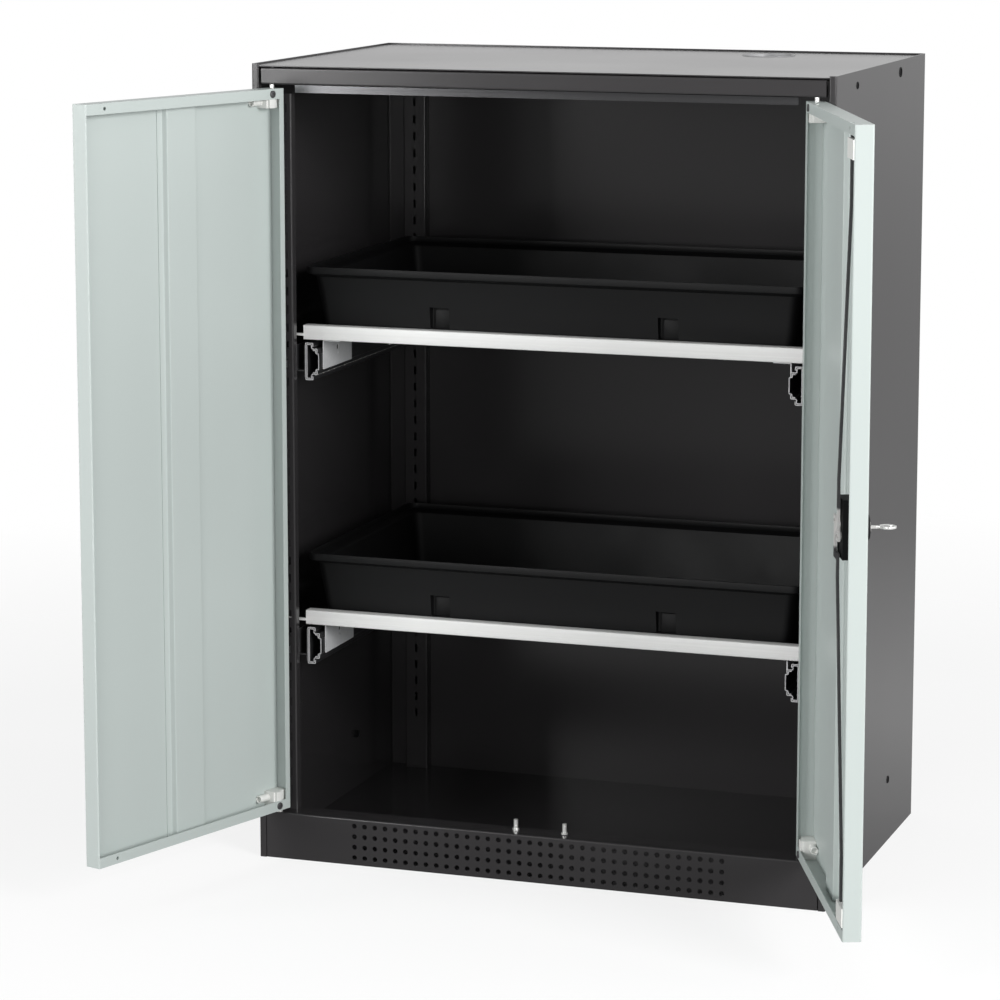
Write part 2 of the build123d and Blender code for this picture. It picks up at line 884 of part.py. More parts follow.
with BuildPart() as guides:
    guide_margin = lip_height + guide_below_lip
    for low in (door_bottom + guide_margin, door_top - guide_margin - guide_height):
        leaf_box(
            lock_side,
            (rod_u - rod_width, rod_near - rod_thickness, low),
            (leaf_free - door_sheet, rod_near - rod_thickness + guide_depth, low + guide_height),
        )
        leaf_box(
            lock_side,
            (rod_u - rod_width / 2 - guide_play, rod_near - guide_play, low - cut_over),
            (rod_u + rod_width / 2 + guide_play, rod_near + rod_thickness + guide_play,
             low + guide_height + cut_over),
            mode=Mode.SUBTRACT,
        )
save(guides, "rod_guides")


def mirrored(points, side):
    """Place a slide section, drawn as distance from the rail and height, on one side of the cabinet."""
    return [(side * (slide_outer - across), up) for across, up in points]


def tub_form(low, shrink):
    """Add the drafted and flared form of a tub from its floor up, drawn in by the thickness of its wall."""
    rim = low + tub_height
    outlines = (
        (low + shrink, tub_flare + tub_draft),
        (rim - tub_flare_height + shrink / 2, tub_flare),
        (rim, 0),
    )
    sections = []
    for height, inset in outlines:
        lost = inset + inset + shrink + shrink
        with BuildSketch(Plane.XY.offset(height)) as section:
            with Locations((0, (tub_rear + tub_front) / 2)):
                RectangleRounded(tray_half + tray_half - lost, tub_rear - tub_front - lost, tub_corner)
        sections.append(section.sketch)
    loft(sections, ruled=True)


def both_ways(points):
    """Complete the upper half of a slide section with its mirror image below."""
    return list(points) + [(across, -up) for across, up in reversed(points)]


middle_half = slide_half_height - slide_sheet - slide_play
middle_back = slide_sheet + slide_play
middle_step = cabinet_member_width - slide_sheet - slide_play
middle_race = middle_half - middle_member_step
drawer_half = middle_race - slide_sheet - slide_play
drawer_shoulder = middle_member_width - slide_sheet - slide_play
drawer_leg = middle_race - middle_member_lip - slide_play
slide_sections = {
    "cabinet_member": (
        (cabinet_member_width, slide_half_height - cabinet_member_lip),
        (cabinet_member_width, slide_half_height),
        (0, slide_half_height),
    ),
    "middle_member": (
        (middle_member_width, middle_race - middle_member_lip),
        (middle_member_width, middle_race),
        (middle_step, middle_race),
        (middle_step, middle_half),
        (middle_back, middle_half),
    ),
    "drawer_member": (
        (drawer_shoulder - drawer_member_foot, drawer_half),
        (drawer_shoulder, drawer_half),
        (drawer_shoulder, drawer_leg),
        (slide_width, drawer_leg),
    ),
}


for level, base in tray_levels.items():
    slide_middle = slide_middles[level]
    carrier_top = base - carrier_drop
    carrier_low = carrier_top - sheet

    for hand, side in sides.items():
        # Rail that hooks into the slots of the front and rear uprights
        with BuildPart() as rail:
            rail_face = slide_outer + rail_sheet
            flange_low = slide_middle - rail_half_height + rail_flange_rise
            arm = (side * (front_slot_x - rail_sheet / 2), side * (front_slot_x + rail_sheet / 2))
            slab(
                (side * slide_outer, slide_front, slide_middle - rail_half_height),
                (side * rail_face, rear_upright_front, slide_middle + rail_half_height),
            )
            slab(
                (side * slide_outer, slide_front, flange_low),
                (side * (slide_outer + rail_flange), rear_upright_front - rail_sheet,
                 flange_low + rail_sheet),
            )
            slab(
                (arm[0], upright_y + sheet, flange_low),
                (arm[1], upright_y + sheet + rail_arm_length, flange_low + rail_arm_height),
            )
            slab(
                (side * slide_outer, rear_upright_front - rail_sheet, flange_low),
                (side * (slide_outer + rail_rear_tab), rear_upright_front, flange_low + rail_arm_height),
            )
            hook = (slide_middle - hook_half_height, slide_middle + hook_half_height)
            slab((arm[0], upright_y - hook_reach, hook[0]), (arm[1], upright_y + sheet, hook[1]))
            slab(
                (side * (rear_slot_x - rail_sheet / 2), rear_upright_front, hook[0]),
                (side * (rear_slot_x + rail_sheet / 2), rear_upright_front + hook_reach, hook[1]),
            )
        save(rail, f"{level}_{hand}_support_rail")

        # The three nested members of the slide
        for member, half_section in slide_sections.items():
            with BuildPart() as slide_part:
                with BuildSketch(Plane.XZ.offset(-slide_front)):
                    section = [(x, slide_middle + up) for x, up in mirrored(both_ways(half_section), side)]
                    outer_path = member != "drawer_member"
                    folded(
                        section,
                        slide_sheet,
                        slide_fold,
                        Side.LEFT if (side < 0) == outer_path else Side.RIGHT,
                    )
                extrude(amount=-slide_length)
            save(slide_part, f"{level}_{hand}_{member}")

    # Zinc angles from the slides up to the carrier
    with BuildPart() as brackets:
        plate_x = slide_outer - slide_width
        for side in sides.values():
            for start in (slide_front + bracket_setback, carrier_rear - bracket_rear_inset - bracket_length):
                with BuildSketch(Plane.XZ.offset(-start)):
                    angle = (
                        (side * plate_x, carrier_low - bracket_height),
                        (side * plate_x, carrier_low),
                        (side * (plate_x - bracket_flange), carrier_low),
                    )
                    folded(angle, bracket_sheet, fold, Side.RIGHT if side < 0 else Side.LEFT)
                extrude(amount=-bracket_length)
                with BuildSketch(Plane.YZ.offset(side * plate_x)):
                    with Locations((start + bracket_length / 2, carrier_low - bracket_keyhole_height)):
                        Circle(bracket_keyhole)
                    with Locations((start + bracket_length / 2,
                                    carrier_low - bracket_keyhole_height - bracket_keyhole_length / 2)):
                        Rectangle(bracket_keyhole_slot, bracket_keyhole_length)
                extrude(amount=-side * bracket_sheet, mode=Mode.SUBTRACT)
    save(brackets, f"{level}_tray_brackets")

    # Carrier plate under the tub
    with BuildPart() as carrier:
        with BuildSketch(Plane.YZ.offset(-carrier_half)):
            carrier_line = (
                (bar_rear, carrier_low + carrier_lip),
                (bar_rear, carrier_low),
                (carrier_rear, carrier_low),
                (carrier_rear, carrier_low + carrier_rear_lip),
            )
            folded(carrier_line, sheet, fold, Side.LEFT)
        extrude(amount=carrier_half + carrier_half)
    save(carrier, f"{level}_tray_carrier")

    # Front bar, an open aluminium section
    with BuildPart() as front_bar:
        with BuildSketch(Plane.YZ.offset(-tray_half)):
            bar_line = (
                (bar_rear, base + bar_height),
                (tray_front, base + bar_height),
                (tray_front, base),
                (bar_rear, base),
            )
            folded(bar_line, bar_wall, bar_round + bar_wall, Side.LEFT)
        extrude(amount=tray_half + tray_half)
    save(front_bar, f"{level}_tray_front_bar")

    # Tub with drafted walls, a flared rim and two pockets in the front wall
    tub_low = carrier_top
    pocket_low = base + bar_height
    pocket_back = tub_front + tub_flare + tub_draft + pocket_depth
    with BuildPart() as cavity:
        tub_form(tub_low, tub_wall)
        for side in sides.values():
            x = side * pocket_x
            slab(
                (x - pocket_width / 2 - tub_wall, tub_front, pocket_low - tub_wall),
                (x + pocket_width / 2 + tub_wall, pocket_back + tub_wall,
                 pocket_low + pocket_height + tub_wall),
                mode=Mode.SUBTRACT,
            )
    with BuildPart() as tub:
        tub_form(tub_low, 0)
        add(cavity.part, mode=Mode.SUBTRACT)
        for side in sides.values():
            x = side * pocket_x
            slab(
                (x - pocket_width / 2, tub_front, pocket_low),
                (x + pocket_width / 2, pocket_back, pocket_low + pocket_height),
                mode=Mode.SUBTRACT,
            )
            slab(
                (x - pocket_tab_width / 2, pocket_back - pocket_tab_thickness, pocket_low),
                (x + pocket_tab_width / 2, pocket_back, pocket_low + pocket_tab_height),
            )
    save(tub, f"{level}_tub")
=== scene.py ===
"""Dresses a chemical storage cabinet: finishes for the CAD nodes, finer pieces and a studio."""
import json
import logging
import math
from dataclasses import dataclass, field
from enum import Enum
from typing import Callable, Optional, Sequence, Union

import bmesh
import bpy
from mathutils import Matrix, Vector

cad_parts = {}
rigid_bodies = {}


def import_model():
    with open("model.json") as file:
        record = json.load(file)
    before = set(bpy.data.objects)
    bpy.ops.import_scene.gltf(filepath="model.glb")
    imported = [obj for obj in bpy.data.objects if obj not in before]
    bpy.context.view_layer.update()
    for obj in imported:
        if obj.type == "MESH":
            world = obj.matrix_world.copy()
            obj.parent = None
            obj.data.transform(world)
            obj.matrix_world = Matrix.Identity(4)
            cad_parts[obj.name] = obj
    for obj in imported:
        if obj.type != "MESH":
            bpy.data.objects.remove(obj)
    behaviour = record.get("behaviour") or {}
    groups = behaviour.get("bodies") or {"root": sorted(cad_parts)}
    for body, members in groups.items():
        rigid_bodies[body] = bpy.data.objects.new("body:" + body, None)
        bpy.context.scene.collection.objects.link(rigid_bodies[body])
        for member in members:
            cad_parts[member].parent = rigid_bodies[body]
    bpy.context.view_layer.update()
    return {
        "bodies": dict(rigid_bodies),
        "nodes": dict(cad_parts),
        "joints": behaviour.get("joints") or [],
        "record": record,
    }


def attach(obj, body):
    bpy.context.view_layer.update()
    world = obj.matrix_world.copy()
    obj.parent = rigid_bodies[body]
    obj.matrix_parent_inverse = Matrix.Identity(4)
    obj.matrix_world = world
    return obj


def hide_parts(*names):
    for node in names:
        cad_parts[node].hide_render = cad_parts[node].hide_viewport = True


LOG = logging.getLogger("cabinet")
Point = Sequence[float]
Colour = tuple[float, float, float]
Shape = bpy.types.Object
Tree = bpy.types.NodeTree
Node = bpy.types.Node
Socket = bpy.types.NodeSocket
Sockets = bpy.types.bpy_prop_collection
Face = bmesh.types.BMFace
FaceTest = Callable[[Face], bool]
EdgeTest = Callable[[bmesh.types.BMEdge], bool]

# Least share of a normal along an axis for a face that looks along it
FLAT = 0.99
# Distances in metres that count as none, and within which points merge
NEAR = 1e-5
MERGE = 1e-6
# Angles in degrees up to which an edge is shaded smooth
SHARP = 35.0
ROUND = 40.0


class Named(Enum):
    """Options whose names are used in the names of nodes and pieces."""

    @property
    def word(self) -> str:
        """Word used in node and piece names."""
        return self.name.lower()


class Side(Named):
    """Hand of a piece, seen from the front."""

    LEFT = -1
    RIGHT = 1


class Level(Named):
    """Height of a tray's bearing face above the ground, in metres."""

    UPPER = 0.7245
    LOWER = 0.3245


class Grain(Enum):
    """Direction in which a metal is drawn, as stretch of its streaks along x, y and z."""

    ACROSS = (2.0, 480.0, 480.0)
    DEEP = (900.0, 2.0, 900.0)


class Axis(Enum):
    """Axis of a mesh, as its direction."""

    X = (1, 0, 0)
    Y = (0, 1, 0)
    Z = (0, 0, 1)

    def faces(self, way: int) -> FaceTest:
        """Gives a test for faces that look forwards (1) or backwards (-1) along the axis."""
        return lambda face: face.normal.dot(Vector(self.value)) * way > FLAT

    def point(self, place: float) -> Vector:
        """Gives the point of the axis at a place."""
        return Vector(self.value) * place


# Tools for shaping meshes


def clear() -> None:
    """Deselects everything and leaves edit mode."""
    if bpy.context.mode != "OBJECT":
        bpy.ops.object.mode_set(mode="OBJECT")
    bpy.ops.object.select_all(action="DESELECT")


def hold(piece: Shape) -> None:
    """Makes one piece the only selected and active object.

    Args:
        piece: The object.
    """
    clear()
    piece.select_set(True)
    bpy.context.view_layer.objects.active = piece


def settle(piece: Shape) -> None:
    """Moves a piece's place, turn and scale into its mesh."""
    hold(piece)
    bpy.ops.object.transform_apply(location=True, rotation=True, scale=True)


def added(name: str, scale: Point = (1, 1, 1)) -> Shape:
    """Names the object that was just added, and settles it.

    Args:
        name: Its name.
        scale: Its scale.

    Returns:
        The object, with its place in its mesh.
    """
    piece = bpy.context.object
    piece.name = name
    piece.scale = scale
    settle(piece)
    return piece


def block(name: str, low: Point, high: Point) -> Shape:
    """Adds a block between two corners, or a level sheet where they have the same height.

    Args:
        name: Name of the new object.
        low: Lowest corner.
        high: Highest corner.

    Returns:
        The block or sheet.
    """
    clear()
    size = Vector(high) - Vector(low)
    middle = (Vector(low) + Vector(high)) / 2
    if size.z:
        bpy.ops.mesh.primitive_cube_add(size=1, location=middle)
        return added(name, size)
    bpy.ops.mesh.primitive_plane_add(size=1, location=middle)
    return added(name, (size.x, size.y, 1))


def rod(name: str, middle: Point, axis: Point, radius: float, length: float, corners: int) -> Shape:
    """Adds a round bar.

    Args:
        name: Name of the new object.
        middle: Middle of the bar.
        axis: Direction of its length.
        radius: Its radius.
        length: Its length.
        corners: Number of flats round it.

    Returns:
        The bar.
    """
    clear()
    turn = Vector(Axis.Z.value).rotation_difference(Vector(axis)).to_euler()
    bpy.ops.mesh.primitive_cylinder_add(
        vertices=corners, radius=radius, depth=length, location=middle, rotation=turn
    )
    return added(name)


def pick(piece: Shape, faces: Optional[FaceTest] = None, edges: Optional[EdgeTest] = None) -> None:
    """Goes into edit mode and selects faces or edges by a test.

    Args:
        piece: The object to work on.
        faces: Test for faces, or nothing.
        edges: Test for edges, or nothing.
    """
    if bpy.context.mode != "EDIT_MESH":
        hold(piece)
        bpy.ops.object.mode_set(mode="EDIT")
    bpy.ops.mesh.select_mode(type="FACE" if faces else "EDGE")
    bpy.ops.mesh.select_all(action="DESELECT")
    mesh = bmesh.from_edit_mesh(piece.data)
    mesh.normal_update()
    for item in mesh.faces if faces else mesh.edges:
        if (faces or edges)(item):
            item.select_set(True)
    mesh.select_flush_mode()
    bmesh.update_edit_mesh(piece.data)


def push(offset: Point) -> None:
    """Extrudes the selection by an offset."""
    bpy.ops.mesh.extrude_region_move(TRANSFORM_OT_translate={"value": tuple(offset)})


def spread(scale: Point, centre: Point) -> None:
    """Scales the selection about a centre."""
    bpy.ops.transform.resize(value=tuple(scale), center_override=tuple(centre))


def grow(rings: Sequence[tuple[float, float, float]], centre: tuple[float, float]) -> None:
    """Extrudes the selected rim from ring to ring.

    Args:
        rings: Half width, half depth and height of each ring; the first is the rim itself.
        centre: Place of the middle of every ring.
    """
    for (wide, deep, low), (next_wide, next_deep, high) in zip(rings, rings[1:]):
        bpy.ops.mesh.extrude_edges_move(TRANSFORM_OT_translate={"value": (0, 0, high - low)})
        spread((next_wide / wide, next_deep / deep, 1), (*centre, high))


def slit(piece: Shape, faces: FaceTest, axis: Axis, *places: float) -> None:
    """Cuts faces square to an axis, and keeps both halves.

    Args:
        piece: The object to work on.
        faces: Test for the faces that are cut.
        axis: Axis that the cuts are square to.
        places: Where the cuts lie along it.
    """
    for place in places:
        pick(piece, faces=faces)
        bpy.ops.mesh.bisect(plane_co=axis.point(place), plane_no=axis.value)


def done() -> None:
    """Leaves edit mode."""
    bpy.ops.object.mode_set(mode="OBJECT")


def modify(piece: Shape, kind: str, **settings: object) -> None:
    """Adds a modifier and applies it.

    Args:
        piece: The object to work on.
        kind: Modifier type.
        settings: Values for the modifier.
    """
    hold(piece)
    modifier = piece.modifiers.new(kind.lower(), kind)
    for key, value in settings.items():
        setattr(modifier, key, value)
    bpy.ops.object.modifier_apply(modifier=modifier.name)


def drill(piece: Shape, cutter: Shape) -> None:
    """Takes a cutter's shape out of a piece, and removes the cutter."""
    modify(piece, "BOOLEAN", operation="DIFFERENCE", object=cutter, solver="EXACT")
    bpy.data.objects.remove(cutter)


def soften(piece: Shape, width: float, segments: int, angle: float = SHARP) -> None:
    """Rounds the edges of a piece that turn by more than an angle, in degrees."""
    limit = math.radians(angle)
    modify(piece, "BEVEL", width=width, segments=segments, limit_method="ANGLE", angle_limit=limit)


def smooth(piece: Shape, angle: float = SHARP) -> None:
    """Shades a piece smooth up to an angle, in degrees."""
    hold(piece)
    bpy.ops.object.shade_smooth_by_angle(angle=math.radians(angle))


def outward(piece: Shape) -> None:
    """Merges doubles and turns the faces outwards.

    Args:
        piece: The object to work on.
    """
    pick(piece, faces=lambda face: True)
    bpy.ops.mesh.remove_doubles(threshold=MERGE)
    bpy.ops.mesh.normals_make_consistent(inside=False)
    done()


def copy(piece: Shape, name: str, frame: Matrix) -> Shape:
    """Copies a piece with its own mesh into a frame, which may mirror it.

    Args:
        piece: The object to copy.
        name: Name of the copy.
        frame: Where the copy goes.

    Returns:
        The copy, with its place in its mesh.
    """
    twin = piece.copy()
    twin.data = piece.data.copy()
    twin.name = name
    bpy.context.collection.objects.link(twin)
    twin.data.transform(frame)
    if frame.determinant() < 0:
        twin.data.flip_normals()
    return twin


def join(pieces: Sequence[Shape], name: str) -> Shape:
    """Joins pieces into one object.

    Args:
        pieces: Objects to join; the first one stays.
        name: Name of the result.

    Returns:
        The joined object.
    """
    hold(pieces[0])
    for piece in pieces[1:]:
        piece.select_set(True)
    bpy.ops.object.join()
    pieces[0].name = name
    return pieces[0]


def seat(piece: Shape, frame: Matrix) -> None:
    """Moves a piece that was modelled at the origin into a frame.

    Args:
        piece: The object.
        frame: Where it goes.
    """
    piece.matrix_world = frame
    bpy.context.view_layer.update()
    settle(piece)


MIRROR = Matrix.Diagonal((-1, 1, 1, 1))


# Finishes


class Wiring:
    """Adds and links the nodes of one node tree."""

    def __init__(self, tree: Tree) -> None:
        """Keeps the tree that the nodes go into."""
        self.tree = tree

    def add(self, kind: str, **settings: object) -> Node:
        """Adds a node.

        Args:
            kind: Node type.
            settings: Properties of the node.

        Returns:
            The node.
        """
        node = self.tree.nodes.new(kind)
        for key, value in settings.items():
            setattr(node, key, value)
        return node

    def group(self, tree: Tree, **values: object) -> Node:
        """Adds a shared group.

        Args:
            tree: The group.
            values: Values for its inputs.

        Returns:
            Its node.
        """
        node = self.add("ShaderNodeGroup", node_tree=tree)
        for label, value in values.items():
            node.inputs[label].default_value = value
        return node

    def feed(self, socket: Socket, source: object) -> None:
        """Links an output to a socket, or sets the socket to a value.

        Args:
            socket: The socket.
            source: An output, a value or a colour.
        """
        if isinstance(source, Socket):
            self.tree.links.new(source, socket)
        else:
            socket.default_value = source

    def sum(self, kind: str, *sources: object) -> Socket:
        """Adds a Math node.

        Args:
            kind: Its operation.
            sources: Its inputs.

        Returns:
            Its output.
        """
        node = self.add("ShaderNodeMath", operation=kind)
        for socket, source in zip(node.inputs, sources):
            self.feed(socket, source)
        return node.outputs[0]

    def mix(self, mask: object, first: object, second: object, kind: str = "FLOAT") -> Socket:
        """Mixes two values or colours by a mask.

        Args:
            mask: Share of the second one.
            first: First value or colour.
            second: Second value or colour.
            kind: FLOAT for values, RGBA for colours.

        Returns:
            The mixture.
        """
        node = self.add("ShaderNodeMix", data_type=kind)
        sockets, result = ((0, 2, 3), 0) if kind == "FLOAT" else ((0, 6, 7), 2)
        for socket, source in zip(sockets, (mask, first, second)):
            self.feed(node.inputs[socket], source)
        return node.outputs[result]

    def range(
        self, value: object, span: tuple[float, float], start: float = 0.0, end: float = 1.0
    ) -> Socket:
        """Maps a value from one range to another, clamped.

        Args:
            value: The value.
            span: Start and end of its range.
            start: Result at the start.
            end: Result at the end.

        Returns:
            The mapped value.
        """
        node = self.add("ShaderNodeMapRange")
        for socket, source in zip(node.inputs, (value, *span, start, end)):
            self.feed(socket, source)
        return node.outputs[0]

    def noise(self, vector: object, scale: object, detail: float, rough: float = 0.5) -> Socket:
        """Adds a noise.

        Args:
            vector: Coordinates.
            scale: Its scale.
            detail: Number of octaves.
            rough: Weight of the finer octaves.

        Returns:
            Its value.
        """
        node = self.add("ShaderNodeTexNoise")
        labels = ("Vector", "Scale", "Detail", "Roughness")
        for label, source in zip(labels, (vector, scale, detail, rough)):
            self.feed(node.inputs[label], source)
        return node.outputs["Fac"]

    def cells(self, feature: str, vector: object, scale: object) -> Socket:
        """Adds a cell pattern.

        Args:
            feature: What it measures.
            vector: Coordinates.
            scale: Its scale.

        Returns:
            The distance in each cell.
        """
        node = self.add("ShaderNodeTexVoronoi", feature=feature)
        self.feed(node.inputs["Vector"], vector)
        self.feed(node.inputs["Scale"], scale)
        return node.outputs["Distance"]

    def place(self, kind: str = "Object") -> Socket:
        """Gives coordinates of a kind."""
        return self.add("ShaderNodeTexCoord").outputs[kind]

    def stretched(self, scale: object) -> Socket:
        """Multiplies object coordinates by a vector.

        Args:
            scale: The vector.

        Returns:
            The coordinates.
        """
        node = self.add("ShaderNodeVectorMath", operation="MULTIPLY")
        self.feed(node.inputs[0], self.place())
        self.feed(node.inputs[1], scale)
        return node.outputs[0]

    def split(self, vector: Socket) -> Sockets:
        """Splits a vector.

        Args:
            vector: The vector.

        Returns:
            Its outputs X, Y and Z.
        """
        node = self.add("ShaderNodeSeparateXYZ")
        self.feed(node.inputs[0], vector)
        return node.outputs


# Middle part of a noise that is spread over the whole range, from broad to narrow
BROAD = (0.1, 0.9)
MEDIUM = (0.3, 0.7)
NARROW = (0.35, 0.65)
TIGHT = (0.38, 0.62)


class Effects:
    """Shader node groups that several finishes share, each built once."""

    def __init__(self) -> None:
        """Builds every group."""
        self.peel = self._peel()
        self.brush = self._brush()
        self.clouds = self._clouds()
        self.moulding = self._moulding()
        self.edge_wear_and_highlight = self._edge_wear_and_highlight()
        self.ends = self._ends()
        self.eye = self._eye()

    @staticmethod
    def _start(name: str, **inputs: object) -> tuple[Wiring, Sockets]:
        """Starts a group.

        Args:
            name: Its name.
            inputs: Default of each input, a value or a vector.

        Returns:
            Its wiring and the sockets of its inputs.
        """
        tree = bpy.data.node_groups.new(name, "ShaderNodeTree")
        for label, default in inputs.items():
            kind = "NodeSocketVector" if isinstance(default, tuple) else "NodeSocketFloat"
            socket = tree.interface.new_socket(label, in_out="INPUT", socket_type=kind)
            socket.default_value = default
        wiring = Wiring(tree)
        return wiring, wiring.add("NodeGroupInput").outputs

    @staticmethod
    def _end(wiring: Wiring, **outputs: Socket) -> Tree:
        """Ends a group.

        Args:
            wiring: Its wiring.
            outputs: Source of each output, all of them values.

        Returns:
            The group.
        """
        for label in outputs:
            wiring.tree.interface.new_socket(label, in_out="OUTPUT", socket_type="NodeSocketFloat")
        result = wiring.add("NodeGroupOutput")
        for label, source in outputs.items():
            wiring.feed(result.inputs[label], source)
        return wiring.tree

    def _peel(self) -> Tree:
        """Orange peel of a powder coat: two sizes of bumps, and slow changes of tone and gloss.

        Returns:
            The group.
        """
        wiring, given = self._start("orange_peel", Scale=420.0)
        place, scale = wiring.place(), given["Scale"]
        coarse = wiring.noise(place, scale, 2.0)
        fine = wiring.noise(place, wiring.sum("MULTIPLY", scale, 3.1), 2.0)
        slow = wiring.range(wiring.noise(place, 2.3, 3.0), MEDIUM, 0.0, 0.7)
        speck = wiring.noise(place, wiring.sum("MULTIPLY", scale, 1.7), 1.0)
        wipes = wiring.noise(wiring.stretched((3.0, 3.0, 1.1)), 1.0, 2.0, 0.4)
        return self._end(
            wiring,
            Height=wiring.sum("MULTIPLY_ADD", fine, 0.35, coarse),
            Tone=wiring.sum("ADD", slow, wiring.range(speck, NARROW, 0.0, 0.3)),
            Gloss=wiring.range(wipes, BROAD),
        )

    def _brush(self) -> Tree:
        """Streaks of a drawn or brushed metal along one direction.

        Returns:
            The group.
        """
        wiring, given = self._start("brushed_streaks", Stretch=(2.0, 900.0, 900.0))
        place = wiring.stretched(given["Stretch"])
        streak = wiring.noise(place, 1.0, 4.0, 0.65)
        broad = wiring.noise(place, 0.22, 2.0)
        return self._end(
            wiring,
            Height=streak,
            Tone=wiring.sum("MULTIPLY_ADD", streak, 0.65, wiring.sum("MULTIPLY", broad, 0.35)),
            Gloss=wiring.range(broad, MEDIUM),
        )

    def _clouds(self) -> Tree:
        """Clouds and small crystals of a zinc or nickel plating.

        Returns:
            The group.
        """
        wiring, given = self._start("plating_clouds", Scale=60.0)
        place, scale = wiring.place(), given["Scale"]
        crystals = wiring.cells("F1", place, wiring.sum("MULTIPLY", scale, 6.0))
        drift = wiring.noise(place, scale, 4.0, 0.6)
        slow = wiring.range(drift, MEDIUM, 0.0, 0.75)
        return self._end(
            wiring,
            Height=wiring.noise(place, wiring.sum("MULTIPLY", scale, 25.0), 2.0),
            Tone=wiring.sum("MULTIPLY_ADD", crystals, 0.45, slow),
            Gloss=wiring.range(drift, NARROW),
        )

    def _moulding(self) -> Tree:
        """Fine spark-eroded grain of a moulded plastic, with faint flow marks.

        Returns:
            The group.
        """
        wiring, given = self._start("moulded_grain", Scale=1100.0)
        place = wiring.place()
        flow = wiring.noise(wiring.stretched((4.0, 4.0, 14.0)), 1.0, 4.0, 0.55)
        return self._end(
            wiring,
            Height=wiring.cells("SMOOTH_F1", place, given["Scale"]),
            Tone=wiring.range(flow, MEDIUM),
            Gloss=wiring.range(wiring.noise(place, 9.0, 4.0, 0.6), MEDIUM),
        )

    def _edge_wear_and_highlight(self) -> Tree:
        """Lightened edges, partly wear and partly a painted highlight: where a rounded normal
        leaves the true one, broken up by noise.

        Returns:
            The group.
        """
        wiring, given = self._start("rubbed_edges", Radius=0.0012)
        bevel = wiring.add("ShaderNodeBevel", samples=4)
        wiring.feed(bevel.inputs["Radius"], given["Radius"])
        along = wiring.add("ShaderNodeVectorMath", operation="DOT_PRODUCT")
        wiring.feed(along.inputs[0], bevel.outputs["Normal"])
        wiring.feed(along.inputs[1], wiring.add("ShaderNodeNewGeometry").outputs["Normal"])
        edge = wiring.range(along.outputs["Value"], (0.985, 0.85))
        broken = wiring.range(wiring.noise(wiring.place(), 45.0, 5.0, 0.65), TIGHT, 0.15)
        return self._end(wiring, Mask=wiring.sum("MULTIPLY", edge, broken))

    def _ends(self) -> Tree:
        """Bare cut ends of profiles from front to back: faces that look forwards or backwards.

        Returns:
            The group.
        """
        wiring, given = self._start("cut_ends", Sharpness=0.9)
        facing = wiring.sum("ABSOLUTE", wiring.split(wiring.place("Normal"))["Y"])
        bare = wiring.sum("GREATER_THAN", facing, given["Sharpness"])
        speck = wiring.range(wiring.noise(wiring.place(), 700.0, 3.0), MEDIUM, 0.75)
        return self._end(wiring, Mask=wiring.sum("MULTIPLY", bare, speck))

    def _eye(self) -> Tree:
        """Bright plating on a band of height, with a worn border.

        Returns:
            The group.
        """
        wiring, given = self._start("plated_band", Middle=0.0, Reach=0.01)
        border = 0.003
        place = wiring.place()
        above = wiring.sum("SUBTRACT", wiring.split(place)["Z"], given["Middle"])
        left = wiring.sum("SUBTRACT", given["Reach"], wiring.sum("ABSOLUTE", above))
        worn = wiring.sum("MULTIPLY_ADD", wiring.noise(place, 300.0, 3.0), border, left)
        return self._end(wiring, Mask=wiring.range(worn, (0.0, border)))


def scaled(colour: Colour, factor: float = 1.0) -> tuple[float, float, float, float]:
    """Gives a colour times a factor, with full alpha."""
    return tuple(min(1.0, part * factor) for part in colour) + (1.0,)


PLATING: Colour = (0.72, 0.715, 0.70)


class Pattern(Enum):
    """Shared effect that gives a finish its pattern."""

    PEEL = "peel"
    STREAKS = "brush"
    CLOUDS = "clouds"
    GRAIN = "moulding"


@dataclass(frozen=True)
class Finish:
    """A surface finish: two tones of a colour, a gloss that drifts, a relief, and edges lightened
    partly as wear and partly as a painted highlight.
    """

    name: str
    pattern: Pattern
    grain: Union[float, Grain]
    colour: Colour
    contrast: float
    roughness: tuple[float, float]
    relief: float
    edge: Colour
    edge_share: float = 0.3
    relief_depth: float = 0.0002
    metallic: float = 0.0
    specular: float = 0.5
    bare_ends: float = 0.0
    plated: Optional[tuple[float, float]] = None

    def material(self, effects: Effects) -> bpy.types.Material:
        """Builds the material.

        Args:
            effects: The shared groups.

        Returns:
            The material.
        """
        made = bpy.data.materials.new(self.name)
        made.use_nodes = True
        wiring = Wiring(made.node_tree)
        group = wiring.group(getattr(effects, self.pattern.value))
        drawn = isinstance(self.grain, Grain)
        group.inputs[0].default_value = self.grain.value if drawn else self.grain
        pattern = group.outputs
        dark, light = (scaled(self.colour, 1.0 + way * self.contrast) for way in (-1, 1))
        colour = wiring.mix(pattern["Tone"], dark, light, "RGBA")
        # Lightens the edges, partly as wear and partly as a painted highlight, and lightens the
        # bare cut ends.
        for share, effect in ((self.edge_share, effects.edge_wear_and_highlight), (self.bare_ends, effects.ends)):
            if share:
                mask = wiring.sum("MULTIPLY", wiring.group(effect).outputs["Mask"], share)
                colour = wiring.mix(mask, colour, scaled(self.edge), "RGBA")
        if self.plated:
            middle, reach = self.plated
            band = wiring.group(effects.eye, Middle=middle, Reach=reach)
            colour = wiring.mix(band.outputs["Mask"], colour, scaled(PLATING), "RGBA")
        bump = wiring.add("ShaderNodeBump")
        shader = made.node_tree.nodes["Principled BSDF"]
        for node, label, source in (
            (bump, "Strength", self.relief),
            (bump, "Distance", self.relief_depth),
            (bump, "Height", pattern["Height"]),
            (shader, "Base Color", colour),
            (shader, "Roughness", wiring.range(pattern["Gloss"], (0.0, 1.0), *self.roughness)),
            (shader, "Metallic", self.metallic),
            (shader, "Specular IOR Level", self.specular),
            (shader, "Normal", bump.outputs["Normal"]),
        ):
            wiring.feed(node.inputs[label], source)
        made.diffuse_color = scaled(self.colour)
        return made
